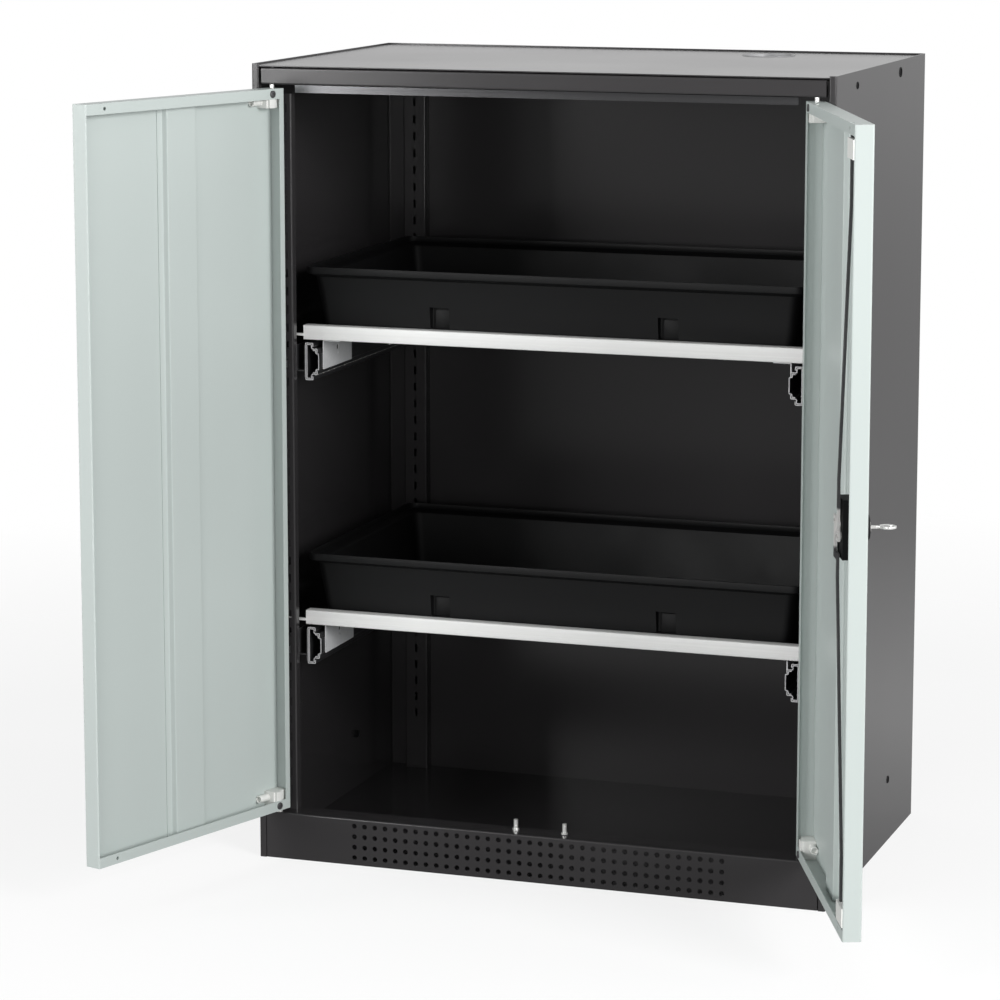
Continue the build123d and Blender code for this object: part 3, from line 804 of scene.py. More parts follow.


# The edge colour of each finish is mixed in along its edges, partly as wear and partly as a painted
# highlight.
FINISHES: dict[str, Finish] = {
    # The light edge colour of the anthracite paint is a painted highlight along the carcass edges.
    "carcass_paint": Finish(
        "anthracite_powder_coat", Pattern.PEEL, 520.0, (0.0310, 0.0294, 0.0306), contrast=0.07,
        roughness=(0.17, 0.23), relief=0.05, edge=(0.13, 0.13, 0.135), edge_share=0.28,
    ),
    "door_paint": Finish(
        "light_grey_powder_coat", Pattern.PEEL, 520.0, (0.474, 0.523, 0.507), contrast=0.025,
        roughness=(0.34, 0.42), relief=0.07, edge=(0.60, 0.65, 0.63), edge_share=0.35,
        relief_depth=0.0003,
    ),
    "bright_strip": Finish(
        "zinc_strip", Pattern.STREAKS, Grain.ACROSS, (0.15, 0.15, 0.155), contrast=0.10,
        roughness=(0.13, 0.20), relief=0.04, edge=(0.4, 0.4, 0.4), metallic=1.0,
    ),
    "white_plastic": Finish(
        "white_moulding", Pattern.GRAIN, 1400.0, (0.72, 0.725, 0.70), contrast=0.03,
        roughness=(0.38, 0.50), relief=0.10, edge=(0.86, 0.86, 0.84),
    ),
    "bright_steel": Finish(
        "nickel_plating", Pattern.CLOUDS, 160.0, (0.78, 0.775, 0.76), contrast=0.05,
        roughness=(0.18, 0.30), relief=0.04, edge=(0.9, 0.89, 0.87), relief_depth=0.0001,
        metallic=0.5,
    ),
    "dark_steel": Finish(
        "blackened_steel", Pattern.CLOUDS, 140.0, (0.070, 0.070, 0.073), contrast=0.12,
        roughness=(0.34, 0.48), relief=0.06, edge=(0.22, 0.215, 0.21), edge_share=0.45,
        metallic=0.3, plated=(0.580, 0.025),
    ),
    "black_plastic": Finish(
        "black_moulding", Pattern.GRAIN, 1300.0, (0.0065, 0.0065, 0.007), contrast=0.15,
        roughness=(0.55, 0.68), relief=0.12, edge=(0.03, 0.03, 0.032), specular=0.15,
    ),
    "zinc": Finish(
        "bright_zinc", Pattern.CLOUDS, 150.0, (0.74, 0.745, 0.755), contrast=0.06,
        roughness=(0.34, 0.48), relief=0.06, edge=(0.85, 0.85, 0.86), edge_share=0.4, metallic=0.2,
    ),
    # Zinc of the extraction collar, darkened as painted shade inside its bore.
    "collar_zinc_painted_shade": Finish(
        "dulled_zinc", Pattern.CLOUDS, 120.0, (0.27, 0.27, 0.275), contrast=0.10,
        roughness=(0.40, 0.55), relief=0.06, edge=(0.3, 0.3, 0.31), metallic=0.2,
    ),
    "rail_steel": Finish(
        "black_passivated_steel", Pattern.STREAKS, Grain.DEEP, (0.030, 0.030, 0.031), contrast=0.12,
        roughness=(0.34, 0.46), relief=0.05, edge=(0.5, 0.5, 0.51), edge_share=0.35, specular=0.35,
    ),
    "slide_steel": Finish(
        "black_rolled_steel", Pattern.STREAKS, Grain.DEEP, (0.020, 0.020, 0.021), contrast=0.12,
        roughness=(0.30, 0.42), relief=0.05, edge=(0.66, 0.66, 0.67), specular=0.35, bare_ends=0.9,
    ),
    "bar_aluminium": Finish(
        "brushed_aluminium", Pattern.STREAKS, Grain.ACROSS, (0.78, 0.78, 0.77), contrast=0.13,
        roughness=(0.38, 0.50), relief=0.05, edge=(0.95, 0.95, 0.95), metallic=0.05,
    ),
    "tub_plastic": Finish(
        "black_tub_moulding", Pattern.GRAIN, 900.0, (0.0042, 0.0042, 0.0045), contrast=0.12,
        roughness=(0.46, 0.58), relief=0.14, edge=(0.03, 0.03, 0.032), edge_share=0.35,
        relief_depth=0.0003, specular=0.22,
    ),
}


# Sub-assemblies


@dataclass
class Piece:
    """A finished piece, the body it rides on, its finish and the CAD node it stands for."""

    shape: Shape
    body: str
    slot: str
    node: str = ""
    finish: str = ""

    def enter(self) -> None:
        """Enters the piece in the frame."""
        if self.node:
            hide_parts(self.node)
        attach(self.shape, self.body)


@dataclass
class PullOutTray:
    """A pull-out tray: its tub, its front bar and the ball cages of its slides."""

    half: float = 0.354
    front: float = -0.208
    bar_height: float = 0.020
    bar_depth: float = 0.018
    bar_wall: float = 0.002
    bar_round: float = 0.0016
    bar_open: float = 0.05
    bar_groove_height: float = 0.0072
    bar_groove: float = 0.0004
    tub_front: float = -0.206
    tub_rear: float = 0.2055
    tub_drop: float = 0.0005
    tub_height: float = 0.101
    tub_flare: float = 0.010
    tub_flare_height: float = 0.011
    tub_draft: float = 0.012
    tub_wall: float = 0.003
    tub_corner: float = 0.014
    tub_round: float = 0.0007
    foot_round: float = 0.0009
    foot_height: float = 0.003
    neck_start: float = 0.0035
    neck_end: float = 0.0025
    neck_inset: float = 0.0004
    neck_outset: float = 0.0010
    rim_lip: float = 0.009
    lip_round: float = 0.0008
    lip_inset: float = 0.0012
    wall_start: float = 0.004
    wall_facing: float = 0.9
    pocket_x: float = 0.162
    pocket_half: float = 0.014
    pocket_height: float = 0.030
    pocket_floor: float = -0.1775
    pocket_push: float = 0.010
    pocket_taper: float = 0.97
    pocket_play: float = 1e-4
    tab_start: float = -0.0085
    tab_end: float = 0.0125
    tab_height: float = 0.026
    tab_thickness: float = 0.003
    slide_outer: float = 0.353
    slide_drop: float = 0.0305
    ball_radius: float = 0.0015
    ball_across: float = 0.0116
    ball_drop: float = 0.0197
    ball_pitch: float = 0.020
    ball_count: int = 18
    cage_front: float = -0.188
    cage_end: float = 0.008
    cage_half_thickness: float = 0.0003
    cage_half_height: float = 0.0012
    cage_round: float = 0.0002
    level: Level = Level.UPPER
    pieces: list[Piece] = field(default_factory=list)

    def build(self) -> None:
        """Models every piece of the upper tray, and copies them to the lower one."""
        self.front_bar()
        self.tub()
        self.ball_cages()
        drop = Matrix.Translation(Axis.Z.point(Level.LOWER.value - Level.UPPER.value))
        for piece in list(self.pieces):
            twin = copy(piece.shape, self.renamed(piece.shape.name), drop)
            body, node = self.renamed(piece.body), self.renamed(piece.node)
            self.pieces.append(Piece(twin, body, piece.slot, node))

    @staticmethod
    def renamed(name: str) -> str:
        """Gives the lower tray's name for a name of the upper one."""
        return name.replace(Level.UPPER.word, Level.LOWER.word)

    def front_bar(self) -> None:
        """Models the aluminium bar with rounded edges, open ends and a groove along its face."""
        base = self.level.value
        piece = block(
            "upper_front_bar",
            (-self.half, self.front, base),
            (self.half, self.front + self.bar_depth, base + self.bar_height),
        )
        pick(piece, edges=lambda edge: abs(edge.verts[0].co.x - edge.verts[1].co.x) > self.half)
        bpy.ops.mesh.bevel(offset=self.bar_round, segments=4, affect="EDGES")
        groove = base + self.bar_groove_height
        face_on = Axis.Y.faces(-1)
        slit(piece, face_on, Axis.Z, groove - self.bar_groove, groove + self.bar_groove)
        pick(
            piece,
            faces=lambda face: face_on(face)
            and abs(face.calc_center_median().z - groove) < self.bar_groove,
        )
        push((0, self.bar_groove, 0))
        for side in Side:
            pick(piece, faces=Axis.X.faces(side.value))
            bpy.ops.mesh.inset(thickness=self.bar_wall)
            push((-side.value * self.bar_open, 0, 0))
        done()
        smooth(piece)
        self.pieces.append(Piece(piece, "upper_tray", "bar_aluminium", "upper_tray_front_bar"))

    @property
    def tub_low(self) -> float:
        """Height of the underside of the tub."""
        return self.level.value - self.tub_drop

    @property
    def tub_neck(self) -> float:
        """Height at which the wall of the tub begins to flare."""
        return self.tub_low + self.tub_height - self.tub_flare_height

    def tub(self) -> None:
        """Models the tub from its floor up, with a flared rim, an upright lip and two pockets."""
        low, neck = self.tub_low, self.tub_neck
        rim = low + self.tub_height
        half_depth = (self.tub_rear - self.tub_front) / 2
        inset = self.tub_flare + self.tub_draft
        foot = inset + self.tub_wall
        piece = block(
            "upper_moulded_tub",
            (-self.half + foot, self.tub_front + foot, low),
            (self.half - foot, self.tub_rear - foot, low),
        )
        pick(piece, edges=lambda edge: True)
        bpy.ops.mesh.bevel(offset=self.tub_corner, segments=6, affect="VERTICES")
        pick(piece, edges=lambda edge: edge.is_boundary)
        rings = (
            (low, foot),
            (low + self.foot_round, inset + self.foot_round),
            (low + self.foot_height, inset),
            (neck - self.neck_start, self.tub_flare + self.neck_inset),
            (neck - self.neck_end, self.tub_flare - self.neck_outset),
            (rim - self.rim_lip - self.lip_round, self.lip_inset),
            (rim - self.rim_lip, 0.0),
            (rim, 0.0),
        )
        grow(
            [(self.half - reach, half_depth - reach, height) for height, reach in rings],
            (0, (self.tub_front + self.tub_rear) / 2),
        )
        done()
        outward(piece)
        base = self.level.value + self.bar_height
        places = [side.value * self.pocket_x for side in Side]
        for x in places:
            ends = (x - self.pocket_half, x + self.pocket_half)
            slit(piece, self.on_front_wall, Axis.X, *ends)
            slit(piece, self.on_front_wall, Axis.Z, base, base + self.pocket_height)
        for x in places:
            self.pocket(piece, x, base)
        done()
        modify(piece, "SOLIDIFY", thickness=self.tub_wall, offset=-1.0, use_even_offset=True)
        soften(piece, self.tub_round, 2, ROUND)
        smooth(piece, ROUND)
        self.pieces.append(Piece(piece, "upper_tub", "tub_plastic", "upper_tub"))

    def pocket(self, piece: Shape, x: float, low: float) -> None:
        """Sinks a pocket with a raised tab into the front wall.

        Args:
            piece: The tub.
            x: Middle of the pocket.
            low: Height of its lower edge.
        """
        start, end, top = x + self.tab_start, x + self.tab_end, low + self.tab_height

        def on_floor(face: Face) -> bool:
            """Tells whether a face lies on the floor of the pocket.

            Args:
                face: The face.

            Returns:
                Whether it does.
            """
            middle = face.calc_center_median()
            sunk = abs(middle.y - self.pocket_floor) < self.pocket_play
            return sunk and abs(middle.x - x) < self.pocket_half

        def on_tab(face: Face) -> bool:
            """Tells whether a face of the floor lies on the tab."""
            middle = face.calc_center_median()
            return on_floor(face) and start < middle.x < end and middle.z < top

        pick(piece, faces=lambda face: self.in_pocket(face, x, low))
        push((0, self.pocket_push, 0))
        spread(
            (self.pocket_taper, 0, self.pocket_taper),
            (x, self.pocket_floor, low + self.pocket_height / 2),
        )
        slit(piece, on_floor, Axis.X, start, end)
        slit(piece, on_floor, Axis.Z, top)
        pick(piece, faces=on_tab)
        push((0, -self.tab_thickness, 0))

    def on_front_wall(self, face: Face) -> bool:
        """Tells whether a face lies on the drafted front wall of the tub.

        Args:
            face: The face.

        Returns:
            Whether it does.
        """
        height = face.calc_center_median().z
        inside = self.tub_low + self.wall_start < height < self.tub_neck - self.neck_start
        return inside and face.normal.y < -self.wall_facing

    def in_pocket(self, face: Face, x: float, low: float) -> bool:
        """Tells whether a face of the front wall lies in a pocket.

        Args:
            face: The face.
            x: Middle of the pocket.
            low: Height of its lower edge.

        Returns:
            Whether it does.
        """
        middle = face.calc_center_median()
        inside = abs(middle.x - x) < self.pocket_half and low < middle.z < low + self.pocket_height
        return inside and self.on_front_wall(face)

    def ball_cages(self) -> None:
        """Models the ball cage in the lower race of the left slide, and mirrors it to the right."""
        x = -(self.slide_outer - self.ball_across)
        z = self.level.value - self.slide_drop - self.ball_drop
        end = self.cage_front + self.ball_pitch * (self.ball_count - 1)
        thick, tall = self.cage_half_thickness, self.cage_half_height
        strip = block(
            "cage_strip",
            (x - thick, self.cage_front - self.cage_end, z - tall),
            (x + thick, end + self.cage_end, z + tall),
        )
        soften(strip, self.cage_round, 1)
        clear()
        bpy.ops.mesh.primitive_uv_sphere_add(
            segments=12, ring_count=8, radius=self.ball_radius, location=(x, self.cage_front, z)
        )
        ball = added("ball")
        balls = [
            copy(ball, "ball", Matrix.Translation(Axis.Y.point(number * self.ball_pitch)))
            for number in range(1, self.ball_count)
        ]
        left = join([strip, ball] + balls, "upper_left_ball_cage")
        smooth(left)
        right = copy(left, "upper_right_ball_cage", MIRROR)
        self.pieces += [Piece(cage, "carcass", "bright_steel") for cage in (left, right)]


@dataclass
class RoofCollar:
    """Extraction collar in the roof: a thin spun ring with a rolled flange."""

    centre: tuple[float, float] = (0.200, 0.174)
    seat: float = 1.1028
    bore: float = 0.034
    wall: float = 0.0015
    flange: float = 0.002
    flange_height: float = 0.0008
    length: float = 0.040
    mouth: float = 0.0006
    mouth_round: float = 0.0002
    step: float = 0.0004
    edge_drop: float = 0.0003
    spigot: float = 0.010
    spigot_end: float = 0.012
    pieces: list[Piece] = field(default_factory=list)

    def build(self) -> None:
        """Models the collar from its lower inner edge up, over the flange and down outside."""
        top = self.seat + self.flange_height
        low = top - self.length
        bore, outer = self.bore, self.bore + self.wall
        edge, spigot = outer + self.flange, outer - self.step
        rings = (
            (bore, low), (bore, top - self.mouth),
            (bore + self.mouth_round, top - self.mouth_round), (bore + self.mouth, top),
            (edge - self.step, top), (edge, top - self.edge_drop), (edge, self.seat),
            (outer, self.seat), (outer, low + self.spigot_end), (spigot, low + self.spigot),
            (spigot, low), (bore, low),
        )
        clear()
        bpy.ops.mesh.primitive_circle_add(vertices=96, radius=bore, location=(*self.centre, low))
        piece = added("spun_collar")
        pick(piece, edges=lambda edge: True)
        grow([(radius, radius, height) for radius, height in rings], self.centre)
        done()
        outward(piece)
        smooth(piece, ROUND)
        # Its finish is zinc darkened as painted shade inside the bore.
        self.pieces.append(Piece(piece, "carcass", "zinc", "extraction_collar", "collar_zinc_painted_shade"))


@dataclass
class SidePlugs:
    """Push-in plugs of the sides, each with a dished head, modelled once and copied."""

    wall: float = 0.405
    head: float = 0.001
    head_round: float = 0.0007
    shank: float = 0.006
    rim: float = 0.0015
    play: float = 0.0001
    dish_margin: float = 0.0009
    dish_depth: float = 0.0036
    dish_taper: float = 0.86
    holes: tuple[tuple[float, float, float], ...] = (
        (0.105, 1.088, 0.007), (-0.146, 1.086, 0.005), (0.102, 0.090, 0.0055),
    )
    pieces: list[Piece] = field(default_factory=list)

    def build(self) -> None:
        """Models a plug for each hole of the right side, mirrors it to the left and joins all."""
        plugs = []
        for number, (y, z, radius) in enumerate(self.holes):
            plug = self.plug(f"plug_{number}", radius)
            plug.data.transform(Matrix.Translation((self.wall, y, z)))
            plugs += [plug, copy(plug, f"plug_twin_{number}", MIRROR)]
        piece = join(plugs, "dished_plugs")
        smooth(piece, ROUND)
        self.pieces.append(Piece(piece, "carcass", "black_plastic", "side_hole_plugs"))

    def plug(self, name: str, radius: float) -> Shape:
        """Models one plug at the origin, its head towards the right.

        Args:
            name: Name of the plug.
            radius: Radius of its hole.

        Returns:
            The plug.
        """
        right = Axis.X.faces(1)
        piece = rod(name, (-self.shank / 2, 0, 0), Axis.X.value, radius - self.play, self.shank, 40)
        pick(piece, faces=right)
        bpy.ops.mesh.inset(thickness=-self.rim - self.play, use_outset=False)
        push((self.head, 0, 0))
        pick(piece, edges=lambda edge: all(vert.co.x > self.head - NEAR for vert in edge.verts))
        bpy.ops.mesh.bevel(offset=self.head_round, segments=3, affect="EDGES")
        pick(piece, faces=lambda face: right(face) and face.calc_center_median().x > self.head / 2)
        bpy.ops.mesh.inset(thickness=self.dish_margin)
        push((-self.dish_depth, 0, 0))
        spread((1, self.dish_taper, self.dish_taper), (0, 0, 0))
        done()
        outward(piece)
        return piece


@dataclass(frozen=True)
class Leaf:
    """An open door leaf: its hand, how far it stands open in degrees, and the place of its pin."""

    side: Side
    angle: float
    pin: tuple[float, float] = (0.378, -0.254)

    def frame(self, along: float, height: float, way: int = 1, up: int = 1) -> Matrix:
        """Gives a frame on the leaf: x along the leaf, y to its inside, z upright.

        Args:
            along: Distance from the pin.
            height: Height above the ground.
            way: 1 where x leads away from the pin, -1 where it leads to it.
            up: 1 where z points up, -1 where it points down.

        Returns:
            The frame.
        """
        turn, hand = math.radians(self.angle), self.side.value
        leaf = Vector((-hand * math.cos(turn), -math.sin(turn), 0))
        inside = Vector((-hand * math.sin(turn), math.cos(turn), 0))
        turned = Matrix((leaf * way, inside, Axis.Z.point(up))).transposed().to_4x4()
        pin = Vector((hand * self.pin[0], self.pin[1], height))
        return Matrix.Translation(pin + leaf * along) @ turned


LEAVES = (Leaf(Side.LEFT, 108.1), Leaf(Side.RIGHT, 112.9))


@dataclass
class DoorPivots:
    """Pivots of both doors: moulded blocks behind the lips, and their socket screws."""

    ends: tuple[tuple[float, int], ...] = ((0.0716, 1), (1.0720, -1))
    sheet: float = 0.0012
    skin: float = -0.0098
    lip: float = 0.0118
    outer: float = -0.0085
    inner: float = 0.020
    length: float = 0.025
    cup: float = 0.0065
    shoulder: float = 0.004
    boss_radius: float = 0.0052
    boss_end: float = 0.038
    boss_height: float = 0.018
    block_round: float = 0.0006
    screw_along: float = 0.014
    screw_height: float = 0.007
    head_radius: float = 0.005
    head_height: float = 0.002
    head_round: float = 0.0009
    socket: float = 0.0024
    socket_cut: float = 0.0024
    shank_radius: float = 0.002
    shank: float = 0.008
    pieces: list[Piece] = field(default_factory=list)

    def build(self) -> None:
        """Models one block and one screw, and copies them to the ends of both doors."""
        patterns = (
            (self.block(), "white_plastic", "pivot_blocks"),
            (self.screw(), "dark_steel", "pivot_screws"),
        )
        for leaf in LEAVES:
            hand = leaf.side.word
            for pattern, slot, node in patterns:
                twins = [
                    copy(pattern, node, leaf.frame(0.0, height, up=up))
                    for height, up in self.ends
                ]
                piece = join(twins, f"{hand}_moulded_{node}")
                self.pieces.append(Piece(piece, f"{hand}_door", slot, f"{hand}_door_{node}"))
        for pattern, _, _ in patterns:
            bpy.data.objects.remove(pattern)

    def block(self) -> Shape:
        """Models a block: a stepped body with a raised cup by the pin, and a boss along the leaf.

        Returns:
            The block, at the origin.
        """
        inside, cup_end = Axis.Y.faces(1), self.inner - self.shoulder / 2
        body = block(
            "pivot_body",
            (self.outer, self.skin, self.sheet),
            (self.inner, self.lip - self.shoulder, self.sheet + self.length),
        )
        slit(body, inside, Axis.X, self.cup, cup_end)
        pick(
            body,
            faces=lambda face: inside(face) and self.cup < face.calc_center_median().x < cup_end,
        )
        push((0, self.shoulder, 0))
        done()
        middle = ((self.inner + self.boss_end) / 2, self.skin + self.boss_radius, self.boss_height)
        reach = self.boss_end - self.inner
        boss = rod("pivot_boss", middle, Axis.X.value, self.boss_radius, reach, 40)
        pick(boss, faces=Axis.X.faces(1))
        bpy.ops.mesh.inset(thickness=self.boss_radius / 3)
        push((-self.shoulder, 0, 0))
        done()
        piece = join([body, boss], "pivot_block")
        soften(piece, self.block_round, 3)
        smooth(piece)
        return piece

    def screw(self) -> Shape:
        """Models a screw with a rounded head and a six-sided socket.

        Returns:
            The screw, at the origin.
        """
        along, height, axis = self.screw_along, self.screw_height, Axis.Y.value
        seat = self.lip + self.sheet
        crown = seat + self.head_height
        middle = (along, (seat + crown) / 2, height)
        piece = rod("pivot_screw", middle, axis, self.head_radius, self.head_height, 40)
        pick(piece, edges=lambda edge: all(vert.co.y > crown - NEAR for vert in edge.verts))
        bpy.ops.mesh.bevel(offset=self.head_round, segments=4, affect="EDGES")
        pick(piece, faces=Axis.Y.faces(-1))
        bpy.ops.mesh.inset(thickness=self.head_radius - self.shank_radius)
        push((0, -self.shank, 0))
        done()
        place = (along, crown, height)
        drill(piece, rod("socket", place, axis, self.socket, self.socket_cut, 6))
        smooth(piece)
        return piece


@dataclass
class DoorLock:
    """Lock of the right door: its key and its rosette, modelled square to the leaf."""

    leaf: Leaf = LEAVES[1]
    along: float = 0.331
    height: float = 0.580
    skin: float = -0.011
    rosette_radius: float = 0.017
    rosette_proud: float = 0.008
    rosette_round: float = 0.0022
    rosette_angle: float = 30.0
    dish_slope: float = 0.0018
    dish_depth: float = 0.0012
    barrel_proud: float = 0.0095
    key_reach: float = 0.042
    key_thickness: float = 0.0028
    key_round: float = 0.00025
    key_blade: float = 0.007
    key_bow: float = 0.011
    key_hole: float = 0.003
    key_hole_cut: float = 0.01
    blade_start: float = 0.0198
    bow_margin: float = 0.0016
    bow_slope: float = 0.0004
    bow_sink: float = 0.0003
    groove_half: float = 0.0009
    groove_inside: float = 0.0005
    groove_depth: float = 0.0005
    pieces: list[Piece] = field(default_factory=list)

    def build(self) -> None:
        """Models every piece of the lock."""
        self.rosette()
        self.key()

    def enlist(self, piece: Shape, body: str, slot: str, node: str) -> None:
        """Moves a piece onto the leaf, x towards the hinge, and lists it."""
        seat(piece, self.leaf.frame(self.along, self.height, way=-1))
        self.pieces.append(Piece(piece, body, slot, node))

    def rosette(self) -> None:
        """Models the round rosette, with a dished face round the barrel."""
        front = self.skin - self.rosette_proud
        piece = rod(
            "turned_rosette", (0, (front + self.skin) / 2, 0), (0, -1, 0),
            self.rosette_radius, self.rosette_proud, 64,
        )
        pick(piece, edges=lambda edge: all(vert.co.y < front + NEAR for vert in edge.verts))
        bpy.ops.mesh.bevel(offset=self.rosette_round, segments=5, affect="EDGES")
        pick(piece, faces=Axis.Y.faces(-1))
        bpy.ops.mesh.inset(thickness=self.rosette_round)
        for way in (1, -1):
            bpy.ops.mesh.inset(thickness=self.dish_slope)
            push((0, way * self.dish_depth, 0))
        done()
        smooth(piece, self.rosette_angle)
        self.enlist(piece, "right_door", "black_plastic", "lock_rosette")

    def key(self) -> None:
        """Models the flat key: a round bow with a ring hole, and a blade with a milled groove."""
        tip, axis = self.skin - self.key_reach, Axis.Z.value
        flat = self.key_thickness
        middle = (0, tip + self.key_bow, 0)
        bow = rod("key_bow", middle, axis, self.key_bow, flat, 48)
        pick(bow, faces=self.level)
        bpy.ops.mesh.inset(thickness=self.bow_margin, use_individual=True)
        bpy.ops.mesh.inset(thickness=self.bow_slope, depth=-self.bow_sink, use_individual=True)
        done()
        place = (0, tip + self.key_bow / 2, 0)
        drill(bow, rod("key_hole", place, axis, self.key_hole, self.key_hole_cut, 32))
        blade = block(
            "key_blade",
            (-self.key_blade / 2, tip + self.blade_start, -flat / 2),
            (self.key_blade / 2, self.skin - self.barrel_proud, flat / 2),
        )
        slit(blade, self.level, Axis.X, -self.groove_half, self.groove_half)
        for way in (1, -1):
            looks = Axis.Z.faces(way)
            pick(
                blade,
                faces=lambda face: looks(face)
                and abs(face.calc_center_median().x) < self.groove_inside,
            )
            push((0, 0, -way * self.groove_depth))
        done()
        piece = join([bow, blade], "flat_key")
        soften(piece, self.key_round, 2)
        smooth(piece)
        self.enlist(piece, "lock", "bright_steel", "lock_key")

    @staticmethod
    def level(face: Face) -> bool:
        """Tells whether a face looks up or down."""
        return abs(face.normal.z) > FLAT


@dataclass(frozen=True)
class Lamp:
    """A soft light: its name, place, aim, width and height in metres, and power in watts."""

    name: str
    place: tuple[float, float, float]
    aim: tuple[float, float, float]
    size: tuple[float, float]
    power: float

    def hang(self) -> None:
        """Hangs the light."""
        clear()
        bpy.ops.object.light_add(type="AREA", location=self.place)
        lamp = bpy.context.object
        lamp.name = self.name
        lamp.data.shape = "RECTANGLE"
        lamp.data.size, lamp.data.size_y = self.size
        lamp.data.energy = self.power
        ray = Vector(self.aim) - Vector(self.place)
        lamp.rotation_euler = ray.to_track_quat("-Z", "Y").to_euler()


LAMPS = (
    Lamp("left_strip", (-2.40, -4.2, 1.85), (-0.1, -0.2, 1.50), size=(1.1, 2.1), power=84.0),
    Lamp("left_softbox", (-3.9, -2.6, 1.8), (0.2, -0.3, 0.6), size=(1.6, 1.6), power=58.0),
    Lamp("front_softbox", (4.3, -2.9, 2.0), (-0.3, -0.4, 0.6), size=(2.0, 2.0), power=242.0),
    Lamp("front_fill", (0.5, -5.6, 0.95), (0.0, 0.0, 0.4), size=(1.5, 1.5), power=42.0),
    Lamp("side_softbox", (4.2, 0.2, 1.8), (0.3, 0.0, 0.6), size=(2.2, 2.2), power=50.0),
)
WHITE = (1, 1, 1, 1)


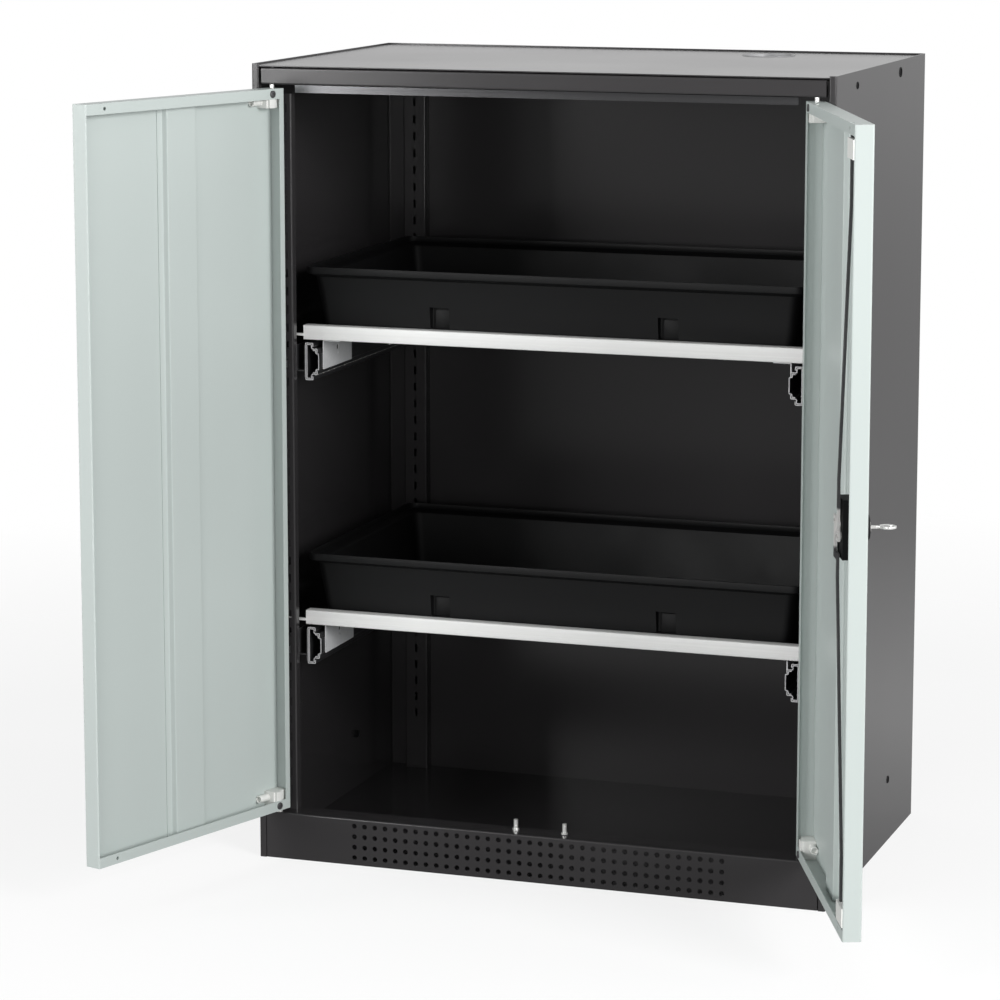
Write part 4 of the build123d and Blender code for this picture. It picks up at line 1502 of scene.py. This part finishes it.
@dataclass
class Studio:
    """Floor, soft lights, white surround and the camera."""

    eye: tuple[float, float, float] = (1.512, -4.774, 1.411)
    pitch: float = 9.21
    yaw: float = 19.09
    lens: float = 130.2
    sensor: float = 36.0
    shift: float = -0.08
    clip_end: float = 200.0
    floor_radius: float = 2.6
    floor_fade: float = 1.2
    paper: float = 0.21
    paper_roughness: float = 0.9
    paper_seen: float = 0.77
    paper_mirrored: float = 0.45
    paper_mirrored_front: float = 0.06
    paper_glow: float = 0.45
    paper_span: tuple[float, float] = (-0.4, 0.8)
    glow_near: tuple[float, float] = (-0.70, -0.48)
    glow_far: tuple[float, float] = (-1.7, -1.2)
    ambient: float = 0.42
    mirrored_front: float = 0.23
    mirrored_back: float = 0.82
    mirrored_low: float = 0.47
    horizon: tuple[float, float] = (-0.12, 0.02)
    front_span: tuple[float, float] = (-0.85, -0.1)

    def build(self) -> None:
        """Sets the whole studio."""
        self.floor()
        self.world()
        for lamp in LAMPS:
            lamp.hang()
        self.camera()
        bpy.context.scene.view_settings.view_transform = "Standard"

    @staticmethod
    def rays(wiring: Wiring) -> tuple[Socket, Socket]:
        """Tells apart the rays that see a surface and those that mirror it.

        Args:
            wiring: Wiring of the material or world.

        Returns:
            A mask for each of the two.
        """
        path = wiring.add("ShaderNodeLightPath").outputs
        seen = wiring.sum("MAXIMUM", path["Is Camera Ray"], path["Is Transmission Ray"])
        return seen, path["Is Glossy Ray"]

    def floor(self) -> None:
        """Lays a round pale floor that holds the shadow and fades into the white surround."""
        clear()
        bpy.ops.mesh.primitive_circle_add(
            vertices=96, radius=self.floor_radius, fill_type="NGON", location=(0, 0, 0)
        )
        ground = bpy.context.object
        ground.name = "studio_floor"
        made = bpy.data.materials.new("studio_paper")
        made.use_nodes = True
        wiring = Wiring(made.node_tree)
        seen, glossy = self.rays(wiring)
        y = wiring.split(wiring.place())["Y"]
        behind = wiring.range(y, self.paper_span, self.paper_mirrored_front, self.paper_mirrored)
        near = wiring.range(y, self.glow_near, self.paper_glow, 0.0)
        glow = wiring.sum("MULTIPLY_ADD", near, wiring.range(y, self.glow_far), behind)
        mirrored = wiring.sum("MULTIPLY", glossy, glow)
        reach = wiring.add("ShaderNodeVectorMath", operation="LENGTH")
        wiring.feed(reach.inputs[0], wiring.place())
        fade = (self.floor_fade, self.floor_radius)
        shader = made.node_tree.nodes["Principled BSDF"]
        for label, source in (
            ("Base Color", scaled((self.paper,) * 3)),
            ("Roughness", self.paper_roughness),
            ("Specular IOR Level", 0.0),
            ("Emission Color", WHITE),
            ("Emission Strength", wiring.sum("MULTIPLY_ADD", seen, self.paper_seen, mirrored)),
            ("Alpha", wiring.range(reach.outputs["Value"], fade, 1.0, 0.0)),
        ):
            wiring.feed(shader.inputs[label], source)
        ground.data.materials.append(made)

    def world(self) -> None:
        """Surrounds the scene with soft light, white when seen, darker in front when mirrored."""
        world = bpy.data.worlds.new("studio_surround")
        bpy.context.scene.world = world
        world.use_nodes = True
        wiring = Wiring(world.node_tree)
        seen, glossy = self.rays(wiring)
        place = wiring.split(wiring.place("Generated"))
        behind = wiring.range(place["Z"], self.horizon, self.mirrored_low)
        behind = wiring.sum("MULTIPLY", behind, self.mirrored_back)
        front_to_back = wiring.range(place["Y"], self.front_span)
        mirrored = wiring.mix(front_to_back, self.mirrored_front, behind)
        soft = wiring.mix(glossy, self.ambient, mirrored)
        back = world.node_tree.nodes["Background"]
        wiring.feed(back.inputs["Color"], WHITE)
        wiring.feed(back.inputs["Strength"], wiring.mix(seen, soft, 1.0))

    def camera(self) -> None:
        """Sets the camera to the viewing angle of the photograph."""
        clear()
        bpy.ops.object.camera_add(
            location=self.eye, rotation=(math.radians(90 - self.pitch), 0, math.radians(self.yaw))
        )
        camera = bpy.context.object
        camera.data.lens = self.lens
        camera.data.sensor_width = self.sensor
        camera.data.shift_y = self.shift
        camera.data.clip_end = self.clip_end
        bpy.context.scene.camera = camera


@dataclass
class Cabinet:
    """The whole cabinet: the CAD nodes and the finer pieces, each with its finish."""

    nodes: dict[str, Shape]
    record: dict
    pieces: list[Piece] = field(default_factory=list)

    def build(self) -> None:
        """Models the finer pieces of every sub-assembly."""
        for assembly in (PullOutTray(), RoofCollar(), SidePlugs(), DoorPivots(), DoorLock()):
            assembly.build()
            self.pieces += assembly.pieces
        for piece in self.pieces:
            piece.enter()

    def dress(self) -> None:
        """Gives every node and piece its finish."""
        effects = Effects()
        made = {slot: finish.material(effects) for slot, finish in FINISHES.items()}
        for part in self.record["subparts"]:
            rail = part["node"].endswith("support_rail")
            slot = "rail_steel" if rail else part["material_slot"]
            self.paint(self.nodes[part["node"]], made[slot])
        for piece in self.pieces:
            self.paint(piece.shape, made[piece.finish or piece.slot])
            LOG.info("%s: %d faces", piece.shape.name, len(piece.shape.data.polygons))

    @staticmethod
    def paint(piece: Shape, finish: bpy.types.Material) -> None:
        """Puts one finish in every material slot of an object.

        Args:
            piece: The object.
            finish: The material.
        """
        if not piece.material_slots:
            piece.data.materials.append(finish)
        for slot in piece.material_slots:
            slot.material = finish


def main() -> None:
    """Loads the frame, builds the cabinet and the studio."""
    logging.basicConfig(level=logging.INFO, format="%(message)s")
    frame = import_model()
    cabinet = Cabinet(frame["nodes"], frame["record"])
    cabinet.build()
    cabinet.dress()
    Studio().build()


if __name__ == "__main__":
    main()
